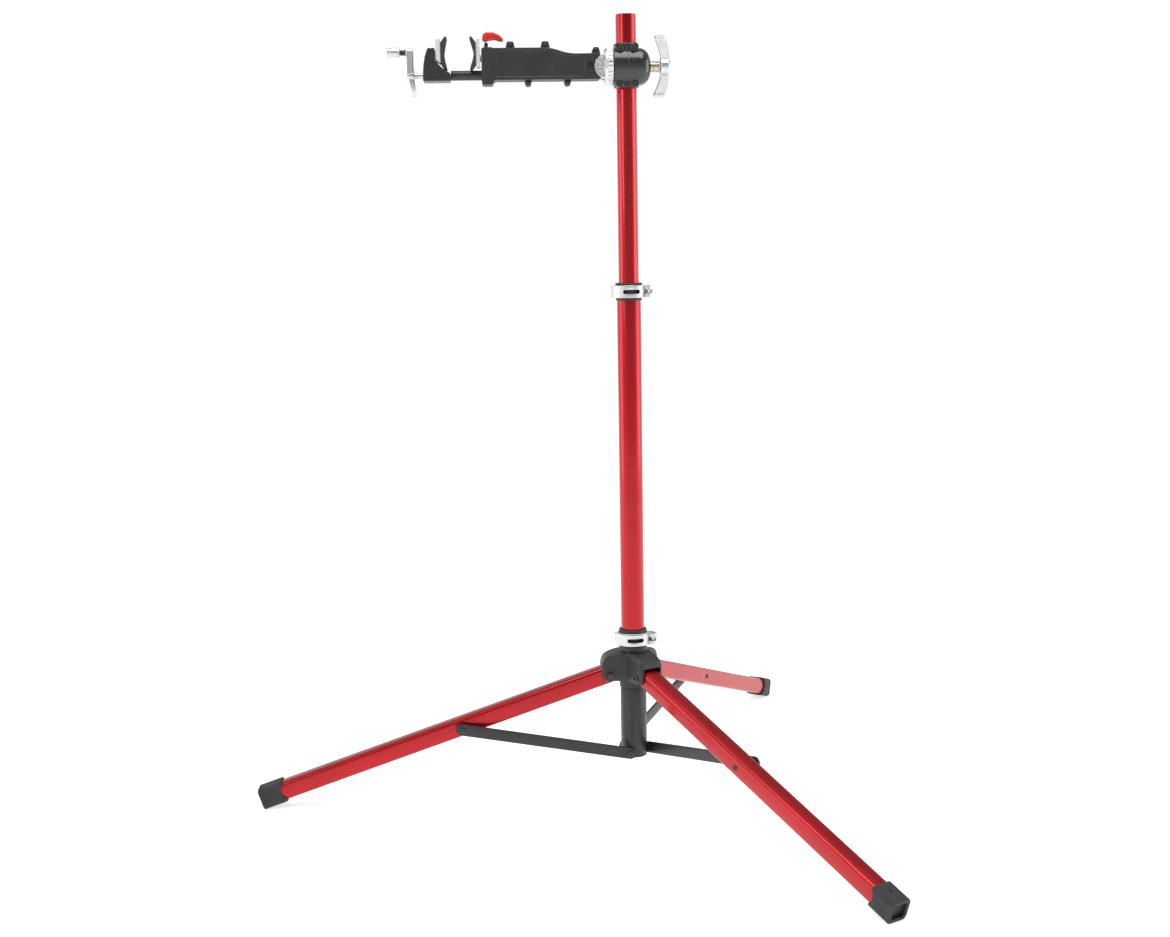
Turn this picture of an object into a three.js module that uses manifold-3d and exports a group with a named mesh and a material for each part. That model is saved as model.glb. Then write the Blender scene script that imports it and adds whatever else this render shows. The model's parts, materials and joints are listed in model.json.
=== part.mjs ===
// Folding bicycle repair stand: telescoping mast, sliding three-leg base and a crank clamp on a folding arm.
// Millimetres, Z up. Pieces are drawn about the mast's axis with the floor at Z = 0, and the whole group is
// moved at the end so that its origin is the centre of its footprint.
import * as THREE from "three";
import { mergeVertices } from "three/addons/utils/BufferGeometryUtils.js";
import Module from "manifold-3d";

const wasm = await Module();
wasm.setup();

const AIR = 0.3; // gap left between pieces that touch or slide

// Mast
const OUTER_R = 19.05, OUTER_WALL = 1.5, OUTER_BOTTOM = 80, OUTER_TOP = 842;
const INNER_R = 15.875, INNER_WALL = 1.5, INNER_BOTTOM = 198, INNER_TOP = 1258.5;
const POST_R = 21.5, POST_BOTTOM = 68, POST_TOP = 185;

// Quick-release collars
const COLLAR_HEIGHT = 20, UPPER_COLLAR_Z = 832, LOWER_COLLAR_Z = 267.5;
const SKEWER_OUT = 5.6, CAM_Y = -12.2, SKEWER_R = 2.3, CAM_PIN_R = 2.6; // skewer stands this far outside the band
const UPPER_BAND_R = 23.8, LOWER_BAND_R = 25.6;

// Base
const LEG_COUNT = 3, FIRST_LEG = 180; // degrees round the mast, measured from +X
const LEG_W = 30, LEG_H = 29, LEG_CORNER = 5.5, LEG_WALL = 1.8, LEG_FALL = 18.54; // degrees
const LEG_PIVOT = [39, 209], LEG_LENGTH = 600, BRACE_ON_LEG = 258.4;
const CAP_START = 566, CAP_END = 607, CAP_GROWTH = 3.1;
const NECK_R = 22.8, HUB_BOTTOM = POST_TOP + 0.4, HUB_TOP = 283, LOBE_HALF = 21.5;
const BRACE_PIVOT = [8, 77], BRACE_NEAR = 22.6, BRACE_THICK = 4, BRACE_HALF = 9.5;
const PIVOT_BOLT_R = 3.9, BRACE_BOLT_R = 2.8;

// Head and folding arm
const HEAD_Z = 1179, FOLD_X = -31, KNUCKLE_R = 19.6, FOLD_PIN_R = 3.5;
const ARM_HALF = 20, TONGUE = [5, 10.8];
const ROD_Z = 1168.5, ROD_R = 7.5;
const GRIP_Z = 1203.6;

const FINISHES = {
  red: { color: 0xb01226, roughness: 0.32, metalness: 0.8 },
  redPlastic: { color: 0xd8242c, roughness: 0.4, metalness: 0 },
  black: { color: 0x2b2a29, roughness: 0.55, metalness: 0.1 },
  rubber: { color: 0x26272a, roughness: 0.85, metalness: 0 },
  silver: { color: 0xc9cbcd, roughness: 0.28, metalness: 1 },
  steel: { color: 0xb9a274, roughness: 0.3, metalness: 1 },
};

// ---- solids from three.js shapes

function toSolid(geometry) {
  const loose = geometry.index ? geometry.toNonIndexed() : geometry;
  const bare = new THREE.BufferGeometry().setAttribute("position", loose.getAttribute("position"));
  const { attributes, index } = mergeVertices(bare, 1e-4);
  const faces = [];
  for (let i = 0; i < index.count; i += 3) {
    const [a, b, c] = index.array.slice(i, i + 3);
    if (a !== b && b !== c && c !== a) faces.push(a, b, c);
  }
  const vertProperties = attributes.position.array;
  return new wasm.Manifold(new wasm.Mesh({ numProp: 3, vertProperties, triVerts: new Uint32Array(faces) }));
}

const joined = (...solids) => solids.reduce((sum, next) => sum.add(next));

// A closed [radius, height] profile turned about an axis; height runs along that axis.
function turned(profile, axis = "z", segments = 24) {
  const next = (i) => profile[(i + 1) % profile.length];
  const area = profile.reduce((sum, [r, h], i) => sum + r * next(i)[1] - next(i)[0] * h, 0);
  const loop = area > 0 ? [...profile] : [...profile].reverse();
  const points = [...loop, loop[0]].map(([r, h]) => new THREE.Vector2(r, h));
  const geometry = new THREE.LatheGeometry(points, segments);
  if (axis === "z") geometry.rotateX(Math.PI / 2);
  if (axis === "x") geometry.rotateZ(-Math.PI / 2);
  return toSolid(geometry);
}

const rod = (radius, from, to, axis = "z", segments = 18) =>
  turned([[0, from], [radius, from], [radius, to], [0, to]], axis, segments);

const block = (x, y, z) =>
  toSolid(
    new THREE.BoxGeometry(x[1] - x[0], y[1] - y[0], z[1] - z[0])
      .translate((x[0] + x[1]) / 2, (y[0] + y[1]) / 2, (z[0] + z[1]) / 2),
  );

const outline = (points) => new THREE.Shape(points.map(([x, y]) => new THREE.Vector2(x, y)));

function roundedBox(width, height, radius) {
  const [x, y] = [width / 2 - radius, height / 2 - radius];
  const shape = new THREE.Shape();
  shape.absarc(x, -y, radius, -Math.PI / 2, 0);
  shape.absarc(x, y, radius, 0, Math.PI / 2);
  shape.absarc(-x, y, radius, Math.PI / 2, Math.PI);
  shape.absarc(-x, -y, radius, Math.PI, 1.5 * Math.PI);
  shape.closePath();
  return shape;
}

// Two circles wrapped by a taut belt: [x, y, radius] twice.
function strap([x0, y0, r0], [x1, y1, r1], steps = 6) {
  const along = Math.atan2(y1 - y0, x1 - x0);
  const open = Math.acos((r0 - r1) / Math.hypot(x1 - x0, y1 - y0));
  const arc = (x, y, r, from, to) =>
    Array.from({ length: steps + 1 }, (_, i) => {
      const a = from + ((to - from) * i) / steps;
      return [x + r * Math.cos(a), y + r * Math.sin(a)];
    });
  return outline([
    ...arc(x1, y1, r1, along - open, along + open),
    ...arc(x0, y0, r0, along + open, along - open + 2 * Math.PI),
  ]);
}

// A flat outline given depth, centred on its plane, with optional softened rims.
function slab(shape, depth, rim = 0) {
  const geometry = new THREE.ExtrudeGeometry(shape, {
    depth: depth - 2 * rim,
    bevelEnabled: rim > 0,
    bevelThickness: rim,
    bevelSize: rim,
    bevelOffset: -rim,
    bevelSegments: 1,
    curveSegments: 4,
  });
  return geometry.translate(0, 0, rim - depth / 2);
}

const [X, Y, Z] = [new THREE.Vector3(1, 0, 0), new THREE.Vector3(0, 1, 0), new THREE.Vector3(0, 0, 1)];
const intoXZ = new THREE.Matrix4().makeBasis(X, Z, Y.clone().negate()); // outline in X and Z, depth along Y
const intoYZ = new THREE.Matrix4().makeBasis(Y, Z, X); // outline in Y and Z, depth along X
const sideView = (shape, depth, rim) => toSolid(slab(shape, depth, rim).applyMatrix4(intoXZ));
const endView = (shape, depth, rim) => toSolid(slab(shape, depth, rim).applyMatrix4(intoYZ));

const legAngles = Array.from({ length: LEG_COUNT }, (_, i) => FIRST_LEG + (i * 360) / LEG_COUNT);
const roundTheMast = (solid) => joined(...legAngles.map((angle) => solid.rotate([0, 0, angle])));

function piece(name, solid, finish) {
  const { vertProperties, triVerts } = solid.getMesh();
  const geometry = new THREE.BufferGeometry()
    .setAttribute("position", new THREE.BufferAttribute(vertProperties, 3))
    .setIndex(new THREE.BufferAttribute(triVerts, 1));
  geometry.computeVertexNormals();
  const mesh = new THREE.Mesh(geometry, new THREE.MeshStandardMaterial(FINISHES[finish]));
  mesh.name = name;
  return mesh;
}

const stand = new THREE.Group();
stand.name = "repair_stand";

// ---- quick-release collars

function collar(inner, outer, z) {
  const low = z - COLLAR_HEIGHT / 2, high = z + COLLAR_HEIGHT / 2;
  const band = turned(
    [[inner, low], [outer - 0.8, low], [outer, low + 0.8], [outer, high - 0.8], [outer - 0.8, high], [inner, high]],
    "z", 32,
  );
  const skewerX = outer + SKEWER_OUT;
  const ears = sideView(strap([14, z, 8.6], [skewerX, z, 7.4]), 11.6, 0.6);
  return band
    .add(ears)
    .subtract(rod(inner, low - 1, high + 1, "z", 32))
    .subtract(block([0, 40], [-1, 1], [low - 1, high + 1]))
    .subtract(rod(SKEWER_R + AIR, -10, 10, "y").translate([skewerX, 0, z]));
}

function skewer(bandOuter, z) {
  const shaft = rod(SKEWER_R, CAM_Y, 12.4, "y", 16);
  const pin = rod(CAM_PIN_R, -8.4, 8.4, "z", 16).translate([0, CAM_Y, 0]);
  const nut = rod(5, 6.2, 10.6, "y", 6);
  return joined(shaft, pin, nut).translate([bandOuter + SKEWER_OUT, 0, z]);
}

function camLever(bandOuter, z) {
  const [inner, outer] = [bandOuter + 0.7, bandOuter + 3.9];
  const degrees = Math.PI / 180;
  const pivot = [bandOuter + SKEWER_OUT, CAM_Y, z];
  const shape = new THREE.Shape();
  shape.absarc(0, 0, outer, -24 * degrees, -168 * degrees, true);
  shape.lineTo(-outer - 2.4, 2.5);
  shape.lineTo(-outer - 0.2, 3.4);
  shape.absarc(0, 0, inner, -172 * degrees, -24 * degrees, false);
  shape.closePath();
  const blade = toSolid(slab(shape, 17, 0.7)).translate([0, 0, z]);
  const cam = rod(6.3, -8.5, 8.5).translate(pivot);
  const fork = rod(9, -3, 3).translate(pivot);
  const window = sideView(strap([-14, z, 2.7], [4, z, 2.7]), 30).translate([0, -30, 0]);
  return blade
    .add(cam)
    .subtract(fork)
    .subtract(rod(CAM_PIN_R + AIR, -10, 10, "z", 16).translate(pivot))
    .subtract(window);
}

// ---- mast

const outerInside = OUTER_R - OUTER_WALL;
const outerTube = turned(
  [[outerInside, OUTER_BOTTOM], [OUTER_R, OUTER_BOTTOM], [OUTER_R, OUTER_TOP], [outerInside, OUTER_TOP]], "z", 36,
);

const postBore = OUTER_R + AIR;
const postSleeve = turned(
  [[postBore, POST_BOTTOM], [POST_R - 0.6, POST_BOTTOM], [POST_R, POST_BOTTOM + 1], [POST_R, POST_TOP - 1.4],
    [POST_R - 0.6, POST_TOP], [postBore, POST_TOP]],
  "z", 36,
);
const postBoss = rod(8, 19.5, BRACE_NEAR - 0.6, "y").translate([BRACE_PIVOT[0], 0, BRACE_PIVOT[1]]);

const upperBush = turned(
  [[16.2, 812], [17.25, 812], [17.25, OUTER_TOP + AIR], [19.35, OUTER_TOP + AIR], [19.35, 818], [20.8, 818],
    [20.8, OUTER_TOP + AIR], [21.6, 843], [21.6, 845.3], [16.2, 845.3]],
  "z", 32,
);

stand.add(
  piece("outer_tube", outerTube, "red"),
  piece("centre_post", postSleeve.add(roundTheMast(postBoss)), "black"),
  piece("post_plug", turned([[0, 66], [17, 66], [18.8, 67.6], [18.8, 79.6], [0, 79.6]]), "rubber"),
  piece("upper_bush", upperBush, "black"),
  piece("upper_collar", collar(21.1, UPPER_BAND_R, UPPER_COLLAR_Z), "silver"),
  piece("upper_skewer", skewer(UPPER_BAND_R, UPPER_COLLAR_Z), "steel"),
  piece("upper_lever", camLever(UPPER_BAND_R, UPPER_COLLAR_Z), "silver"),
);

// ---- sliding hub

const [pivotR, pivotZ] = LEG_PIVOT;
const lobe = sideView(
  outline([[8, 199], [47, 199], [52.5, 205], [53.4, 226], [49.5, 235], [40, 241], [8, 246]]),
  2 * LOBE_HALF, 2.4,
);
const neck = turned(
  [[0, HUB_BOTTOM], [NECK_R - 0.6, HUB_BOTTOM], [NECK_R, HUB_BOTTOM + 0.8], [NECK_R, 252], [NECK_R, HUB_TOP - 1],
    [NECK_R - 0.8, HUB_TOP], [0, HUB_TOP]],
  "z", 32,
);
const legSlot = block([23.3, 70], [-LEG_W / 2 - 0.4, LEG_W / 2 + 0.4], [180, 225]);
const pivotHole = rod(PIVOT_BOLT_R + AIR, -40, 40, "y").translate([pivotR, 0, pivotZ]);
const hub = neck
  .add(roundTheMast(lobe))
  .subtract(roundTheMast(legSlot))
  .subtract(roundTheMast(pivotHole))
  .subtract(rod(OUTER_R + AIR, HUB_BOTTOM - 5, HUB_TOP + 5, "z", 36));

stand.add(
  piece("hub_casting", hub, "black"),
  piece("lower_collar", collar(NECK_R + AIR, LOWER_BAND_R, LOWER_COLLAR_Z), "silver"),
  piece("lower_skewer", skewer(LOWER_BAND_R, LOWER_COLLAR_Z), "steel"),
  piece("lower_lever", camLever(LOWER_BAND_R, LOWER_COLLAR_Z), "silver"),
);

// ---- one leg, drawn outwards along +X with its width along Y

const fall = (LEG_FALL * Math.PI) / 180;
// Drawn along +X from the leg pivot, then tipped down to the leg's own slope.
const alongLeg = (solid) => solid.rotate([0, LEG_FALL, 0]).translate([pivotR, 0, pivotZ]);
function beam(width, height, corner, from, to) {
  const run = slab(roundedBox(width, height, corner), to - from).applyMatrix4(intoYZ);
  return toSolid(run.translate((from + to) / 2, 0, 0));
}

const legEnd = block([-40, 0], [-30, 30], [-30, 30]).subtract(rod(LEG_H / 2, -40, 40, "y", 24));
const legTube = beam(LEG_W, LEG_H, LEG_CORNER, -LEG_H / 2, LEG_LENGTH)
  .subtract(beam(LEG_W - 2 * LEG_WALL, LEG_H - 2 * LEG_WALL, LEG_CORNER - LEG_WALL, -20, LEG_LENGTH + 5))
  .subtract(legEnd)
  .subtract(rod(PIVOT_BOLT_R + AIR, -40, 40, "y"))
  .subtract(rod(BRACE_BOLT_R + AIR, -40, 40, "y").translate([BRACE_ON_LEG, 0, 0]));

const footCap = alongLeg(
  beam(LEG_W + 2 * CAP_GROWTH, LEG_H + 2 * CAP_GROWTH, LEG_CORNER + 1.5, CAP_START, CAP_END)
    .subtract(beam(LEG_W + 2 * AIR, LEG_H + 2 * AIR, LEG_CORNER, CAP_START - 5, LEG_LENGTH + AIR))
    .subtract(beam(LEG_W - 5, LEG_H - 5, 3.5, CAP_START, CAP_END + 5))
    .subtract(rod(15, -40, 40, "y", 24).translate([CAP_START - 9.5, 0, 0]))
    .subtract(rod(1.8, 10, 40).translate([CAP_START + 18, 0, 0])),
).subtract(block([500, 700], [-40, 40], [-20, 0]));

const boltProfile = [
  [0, -24.4], [4, -24.4], [5.4, -23.2], [5.4, -21.8], [PIVOT_BOLT_R, -21.8], [PIVOT_BOLT_R, 21.8], [6, 21.8],
  [6, 25.4], [PIVOT_BOLT_R, 25.4], [PIVOT_BOLT_R, 27], [0, 27],
];
const pivotBolt = turned(boltProfile, "y", 24).translate([pivotR, 0, pivotZ]);

const side = LEG_W / 2 + AIR;
const braceFar = BRACE_NEAR + BRACE_THICK;
const braceLegBolt = alongLeg(
  turned(
    [[0, -side - 2.4], [3.6, -side - 2.4], [4.8, -side - 1.4], [4.8, -side], [BRACE_BOLT_R, -side],
      [BRACE_BOLT_R, side], [6.4, side], [6.4, BRACE_NEAR - AIR], [BRACE_BOLT_R, BRACE_NEAR - AIR],
      [BRACE_BOLT_R, braceFar + AIR], [5.6, braceFar + AIR], [5.6, braceFar + 1.8], [4.2, braceFar + 3.2],
      [0, braceFar + 3.2]],
    "y", 18,
  ).translate([BRACE_ON_LEG, 0, 0]),
);

const [braceR, braceZ] = BRACE_PIVOT;
const legHole = [pivotR + BRACE_ON_LEG * Math.cos(fall), pivotZ - BRACE_ON_LEG * Math.sin(fall)];
const braceMiddle = BRACE_NEAR + BRACE_THICK / 2;
const braceHoles = [BRACE_PIVOT, legHole].map(([r, z]) => rod(BRACE_BOLT_R + AIR, 15, 35, "y").translate([r, 0, z]));
const brace = sideView(strap([braceR, braceZ, BRACE_HALF], [...legHole, BRACE_HALF]), BRACE_THICK, 0.6)
  .translate([0, braceMiddle, 0])
  .subtract(braceHoles[0])
  .subtract(braceHoles[1]);
const bracePostBolt = turned(
  [[0, BRACE_NEAR - AIR], [BRACE_BOLT_R, BRACE_NEAR - AIR], [BRACE_BOLT_R, braceFar + AIR], [5.6, braceFar + AIR],
    [5.6, braceFar + 1.8], [4.2, braceFar + 3.2], [0, braceFar + 3.2]],
  "y", 18,
).translate([braceR, 0, braceZ]);

legAngles.forEach((angle, i) => {
  const leg = new THREE.Group();
  leg.rotation.z = (angle * Math.PI) / 180;
  const number = i + 1;
  leg.add(
    piece("leg_tube_" + number, alongLeg(legTube), "red"),
    piece("foot_cap_" + number, footCap, "rubber"),
    piece("leg_pivot_bolt_" + number, pivotBolt, "steel"),
    piece("brace_leg_bolt_" + number, braceLegBolt, "steel"),
    piece("brace_" + number, brace, "black"),
    piece("brace_post_bolt_" + number, bracePostBolt, "steel"),
  );
  stand.add(leg);
});

// ---- telescoping tube and head

const innerInside = INNER_R - INNER_WALL;
const crossBore = rod(8, -40, 40, "x").translate([0, 0, HEAD_Z]);
const innerTube = turned(
  [[innerInside, INNER_BOTTOM], [INNER_R, INNER_BOTTOM], [INNER_R, INNER_TOP], [innerInside, INNER_TOP]], "z", 32,
).subtract(crossBore);

const barrel = turned(
  [[0, -20], [28.2, -20], [29, -19.2], [29, 20], [27.8, 27], [24.5, 32.5], [19, 36], [13, 37], [0, 37]], "x", 32,
).translate([0, 0, HEAD_Z]);
const tubeClamp = turned(
  [[0, 1146.6], [22.6, 1146.6], [23.8, 1148], [23.8, 1212.6], [22.6, 1214], [0, 1214]], "z", 32,
);
const HEAD_SCREWS = [-10, 10].map((x) => [x, -20.6, 1208.4]);
const screwSeats = joined(...HEAD_SCREWS.map(([x, y, z]) => rod(4.1, -40, y + AIR, "y").translate([x, 0, z])));
const headCasting = barrel
  .add(tubeClamp)
  .subtract(screwSeats)
  .subtract(rod(30.5, -60, -20.9, "x", 32).translate([0, 0, HEAD_Z]))
  .subtract(rod(INNER_R + AIR, 1140, 1220, "z", 32))
  .subtract(rod(7.5, -25, 33, "x").translate([0, 0, HEAD_Z]));

const panHead = (radius, reach) =>
  turned([[0, -reach], [radius * 0.7, -reach], [radius, -reach * 0.55], [radius, 0], [0, 0]], "y", 18)
    .subtract(rod(radius * 0.45, -reach - 1, -reach * 0.45, "y", 6));

stand.add(
  piece("guide_bush", turned([[7, 181], [17.2, 181], [17.2, 197.6], [14.1, 197.6], [14.1, 214], [7, 214]]), "black"),
  piece("inner_tube", innerTube, "red"),
  piece("tube_plug", turned([[0, 1249], [14.05, 1249], [14.05, 1257.4], [12.6, 1258.4], [0, 1258.4]]), "rubber"),
  piece("head_casting", headCasting, "black"),
  ...HEAD_SCREWS.map((at, i) => piece("head_screw_" + (i + 1), panHead(3.7, 2.6).translate(at), "steel")),
);

// ---- tightening knob, at the far side of the head

const knobHub = turned(
  [[0, 50.8], [11.5, 50.8], [13.8, 52.6], [13.8, 62], [12, 65.6], [8, 66.8], [0, 66.8]], "x", 16,
);
const wing = endView(strap([0, 0, 12.5], [0, 37.5, 7.5]), 7, 1.6).translate([56, 0, 0]);
const wingFoot = turned([[0, 41], [4.8, 41], [6.2, 42.6], [7, 58], [5.5, 59.4], [0, 59.4]], "x", 18)
  .translate([0, 0, 37.8]);
const halfKnob = wing.add(wingFoot);
const knob = joined(knobHub, halfKnob, halfKnob.rotate([180, 0, 0])).rotate([14, 0, 0]).translate([0, 0, HEAD_Z]);

stand.add(
  piece("knob", knob, "silver"),
  piece("knob_spacer", turned([[0, 37.3], [8.5, 37.3], [8.5, 50.5], [0, 50.5]], "x").translate([0, 0, HEAD_Z]), "steel"),
);

// ---- index ring, draw shaft and fold pin

const knuckleAxis = (solid) => solid.translate([FOLD_X, 0, HEAD_Z]);
const knuckles = knuckleAxis(turned(
  [[0, -ARM_HALF], [KNUCKLE_R - 1, -ARM_HALF], [KNUCKLE_R, -ARM_HALF + 1], [KNUCKLE_R, ARM_HALF - 1],
    [KNUCKLE_R - 1, ARM_HALF], [0, ARM_HALF]],
  "y", 32,
)).intersect(block([-60, -30], [-30, 30], [HEAD_Z - 30, HEAD_Z + 30]));
const knuckleDish = knuckleAxis(joined(rod(14.5, 18.4, 25, "y"), rod(14.5, -25, -18.4, "y")))
  .intersect(block([-60, -36], [-30, 30], [HEAD_Z - 30, HEAD_Z + 30]));
const slotHalf = TONGUE[1] + AIR;
const indexRing = turned(
  [[0, -34.2], [28.4, -34.2], [29.3, -33.3], [29.3, -22.4], [28.4, -21.5], [0, -21.5]], "x", 32,
).translate([0, 0, HEAD_Z])
  .add(knuckles)
  .subtract(knuckleDish)
  .subtract(block([-60, -34.2], [-slotHalf, slotHalf], [HEAD_Z - 30, HEAD_Z + 30]))
  .subtract(block([-35, -20], [-slotHalf, slotHalf], [HEAD_Z - 10.5, HEAD_Z + 10.5]));

const eyeHalf = TONGUE[0] - AIR;
const drawShaft = knuckleAxis(rod(9, -eyeHalf, eyeHalf, "y"))
  .add(block([FOLD_X, -15], [-eyeHalf, eyeHalf], [HEAD_Z - 5, HEAD_Z + 5]))
  .add(rod(7, -17, 30, "x").translate([0, 0, HEAD_Z]))
  .subtract(knuckleAxis(rod(FOLD_PIN_R + AIR, -10, 10, "y")));

stand.add(
  piece("index_ring", indexRing, "silver"),
  piece("draw_shaft", drawShaft, "steel"),
  piece("fold_pin", knuckleAxis(rod(FOLD_PIN_R, -10.4, 10.4, "y")), "steel"),
);

// ---- clamp arm: two shells screwed together

const ARM_SIDE = [
  [-224.8, 1152.5], [-207.6, 1152.5], [-207.6, 1159.5], [-40.5, 1159.5], [-40.5, 1199.5], [-92, 1199.5],
  [-119, 1208], [-207.6, 1208], [-207.6, 1209.2], [-224.8, 1209.2],
];
const ARM_BOSSES = [
  [-180, 1212.2, 6], [-126, 1212.2, 6], [-47.5, 1203.6, 5.2], [-153, 1155.4, 4.6], [-92, 1155.4, 4.6],
]; // x, z, radius
const BOSS_HALF = 13;
const bosses = joined(
  ...ARM_BOSSES.map(([x, z, radius]) => {
    const root = z > HEAD_Z ? [z - 8, z] : [z, z + 8];
    return rod(radius, -BOSS_HALF, BOSS_HALF, "y")
      .translate([x, 0, z])
      .add(block([x - radius, x + radius], [-BOSS_HALF, BOSS_HALF], root));
  }),
);
const tongues = joined(...[-1, 1].map((way) => {
  const middle = (way * (TONGUE[0] + TONGUE[1])) / 2;
  return sideView(strap([FOLD_X - 26, HEAD_Z, 9], [FOLD_X, HEAD_Z, 9]), TONGUE[1] - TONGUE[0], 0.5)
    .translate([0, middle, 0]);
}));
const armBody = sideView(outline(ARM_SIDE), 2 * ARM_HALF, 2)
  .add(bosses)
  .subtract(knuckleAxis(rod(KNUCKLE_R + 0.7, -30, 30, "y", 32)))
  .subtract(rod(ROD_R + AIR, -230, -80, "x").translate([0, 0, ROD_Z]))
  .subtract(block([-59, -54], [-30, -17.5], [1176, 1184]))
  .add(tongues)
  .subtract(knuckleAxis(rod(FOLD_PIN_R + AIR, -15, 15, "y")));
const shellHalf = (way) =>
  armBody.intersect(block([-300, 0], way < 0 ? [-40, -AIR / 2] : [AIR / 2, 40], [1100, 1300]));

stand.add(
  piece("arm_shell_front", shellHalf(-1), "black"),
  piece("arm_shell_back", shellHalf(1), "black"),
  ...ARM_BOSSES.map(([x, z], i) =>
    piece("arm_screw_" + (i + 1), panHead(3.2, 2).translate([x, -BOSS_HALF - AIR, z]), "steel")),
);

// ---- jaws

const PAD_LOW = 1177, PAD_HIGH = 1225, VALLEY = 1200;
const innerPlate = sideView(outline([[-232.7, 1180], [-229.3, 1180], [-229.3, 1222], [-232.7, 1222]]), 34, 0.7)
  .add(rod(5, -230, -225.1, "x").translate([0, 0, 1194]));
const innerPad = sideView(
  outline([[-242.7, PAD_LOW], [-239.5, PAD_LOW - 0.6], [-233, 1184], [-233, 1218], [-239.5, PAD_HIGH + 0.6],
    [-242.7, PAD_HIGH], [-238.2, 1209], [-236, VALLEY], [-238.2, 1191]]),
  38, 1,
);
const outerPlate = sideView(
  outline([[-287.2, 1185.5], [-287.2, 1221], [-289.5, 1223], [-295, 1221], [-295, 1192]]), 34, 0.7,
);
const outerPad = sideView(
  outline([[-277, PAD_LOW], [-280.3, 1191], [-281.8, VALLEY], [-280.3, 1209], [-277, PAD_HIGH],
    [-281, PAD_HIGH + 0.6], [-286.9, 1217], [-286.9, 1186], [-280, PAD_LOW]]),
  38, 1,
);
const jawBlock = sideView(
  outline([[-314.9, 1159], [-272.6, 1159], [-272.6, 1171], [-279, 1174.2], [-288, 1181.6], [-295.4, 1190.4],
    [-296, 1209], [-307, 1209], [-311.6, 1196], [-314, 1182], [-314.9, 1170]]),
  40, 2,
);

stand.add(
  piece("inner_jaw_plate", innerPlate, "silver"),
  piece("inner_jaw_pad", innerPad, "rubber"),
  piece("jaw_block", jawBlock, "black"),
  piece("outer_jaw_plate", outerPlate, "silver"),
  piece("outer_jaw_pad", outerPad, "rubber"),
  piece("jaw_rod", rod(ROD_R, -272.3, -122, "x", 32).translate([0, 0, ROD_Z]), "black"),
);

// ---- crank

const armReach = GRIP_Z - ROD_Z;
const crankArm = joined(
  turned([[0, -340.5], [6.5, -340.5], [8.2, -338.8], [8.2, -329.3], [0, -329.3]], "x", 20),
  endView(strap([0, 0, 7.4], [0, armReach, 6.4]), 8, 1.6).translate([-335.6, 0, 0]),
  endView(strap([0, -2, 6.2], [0, -28.5, 3.4]), 6.5, 1.5).rotate([0, -12, 0]).translate([-334.2, 0, 0]),
).translate([0, 0, ROD_Z]);
const gripPin = turned(
  [[0, -366], [2.8, -366], [2.8, -348.9], [4.2, -348.9], [4.2, -340], [0, -340]], "x", 16,
).translate([0, 0, GRIP_Z]);
const grip = turned(
  [[0, -370.5], [6.6, -370.5], [7.9, -369.2], [7.9, -351], [7, -349.5], [2.8 + AIR, -349.5],
    [2.8 + AIR, -366.4], [0, -366.4]],
  "x", 20,
).translate([0, 0, GRIP_Z]);

stand.add(
  piece("crank_spindle", rod(4.5, -329, -315.2, "x").translate([0, 0, ROD_Z]), "silver"),
  piece("crank_arm", crankArm, "silver"),
  piece("grip_pin", gripPin.translate([-0.6, 0, 0]), "black"),
  piece("crank_grip", grip.translate([-0.6, 0, 0]), "silver"),
);

// ---- release lever

const RELEASE_X = -217;
const releaseLever = sideView(
  outline([[-223, 1221], [-222.4, 1229], [-218, 1233.2], [-206, 1233], [-196.5, 1229], [-190.4, 1222.8],
    [-191, 1219.6], [-195, 1218.8], [-203, 1221.6], [-212, 1220.8], [-219, 1218.4]]),
  12, 2.2,
);

stand.add(
  piece("red_lever", releaseLever, "redPlastic"),
  piece("lever_stem", rod(3, 1209.6, 1218, "z", 16).translate([RELEASE_X, 0, 0]), "black"),
);

// The footprint's centre becomes the origin.
stand.updateMatrixWorld(true);
const footprint = new THREE.Box3().setFromObject(stand).getCenter(new THREE.Vector3());
stand.position.set(-footprint.x, -footprint.y, 0);

export default stand;
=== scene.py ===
"""Bicycle repair stand: the visual pieces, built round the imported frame."""

import json
import math

import bmesh
import bpy
from bpy.props import FloatProperty, FloatVectorProperty, PointerProperty
from mathutils import Matrix, Vector


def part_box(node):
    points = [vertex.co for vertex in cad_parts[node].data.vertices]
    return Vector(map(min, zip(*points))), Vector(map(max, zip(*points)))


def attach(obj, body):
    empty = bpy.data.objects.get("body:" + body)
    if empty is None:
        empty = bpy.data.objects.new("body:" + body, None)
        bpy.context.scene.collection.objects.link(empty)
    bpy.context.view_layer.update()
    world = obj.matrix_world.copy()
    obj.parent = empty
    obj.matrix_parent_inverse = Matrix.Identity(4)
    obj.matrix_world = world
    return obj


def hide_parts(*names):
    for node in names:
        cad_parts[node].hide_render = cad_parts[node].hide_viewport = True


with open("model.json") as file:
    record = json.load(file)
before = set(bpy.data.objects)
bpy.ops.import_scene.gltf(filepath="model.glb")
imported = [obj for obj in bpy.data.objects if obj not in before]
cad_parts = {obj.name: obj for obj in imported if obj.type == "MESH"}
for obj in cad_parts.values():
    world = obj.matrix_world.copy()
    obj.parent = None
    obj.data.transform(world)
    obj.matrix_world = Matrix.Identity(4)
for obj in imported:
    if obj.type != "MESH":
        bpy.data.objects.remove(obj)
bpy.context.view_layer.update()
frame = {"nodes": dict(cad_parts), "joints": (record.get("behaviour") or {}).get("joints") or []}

bl_info = {
    "name": "Bike Repair Stand",
    "version": (1, 0, 0),
    "blender": (4, 5, 0),
    "location": "View3D > Sidebar > Repair Stand",
    "description": "Builds a folding bicycle repair stand piece by piece on its frame",
    "category": "Add Mesh",
}

# ---- places taken from the frame, in millimetres about the mast's axis

MM = 0.001
JOINTS = {joint["name"]: joint for joint in frame["joints"]}


def node_box(node):
    """Lowest and highest corner of a frame node, in millimetres."""
    low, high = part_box(node)
    return low / MM, high / MM


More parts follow.
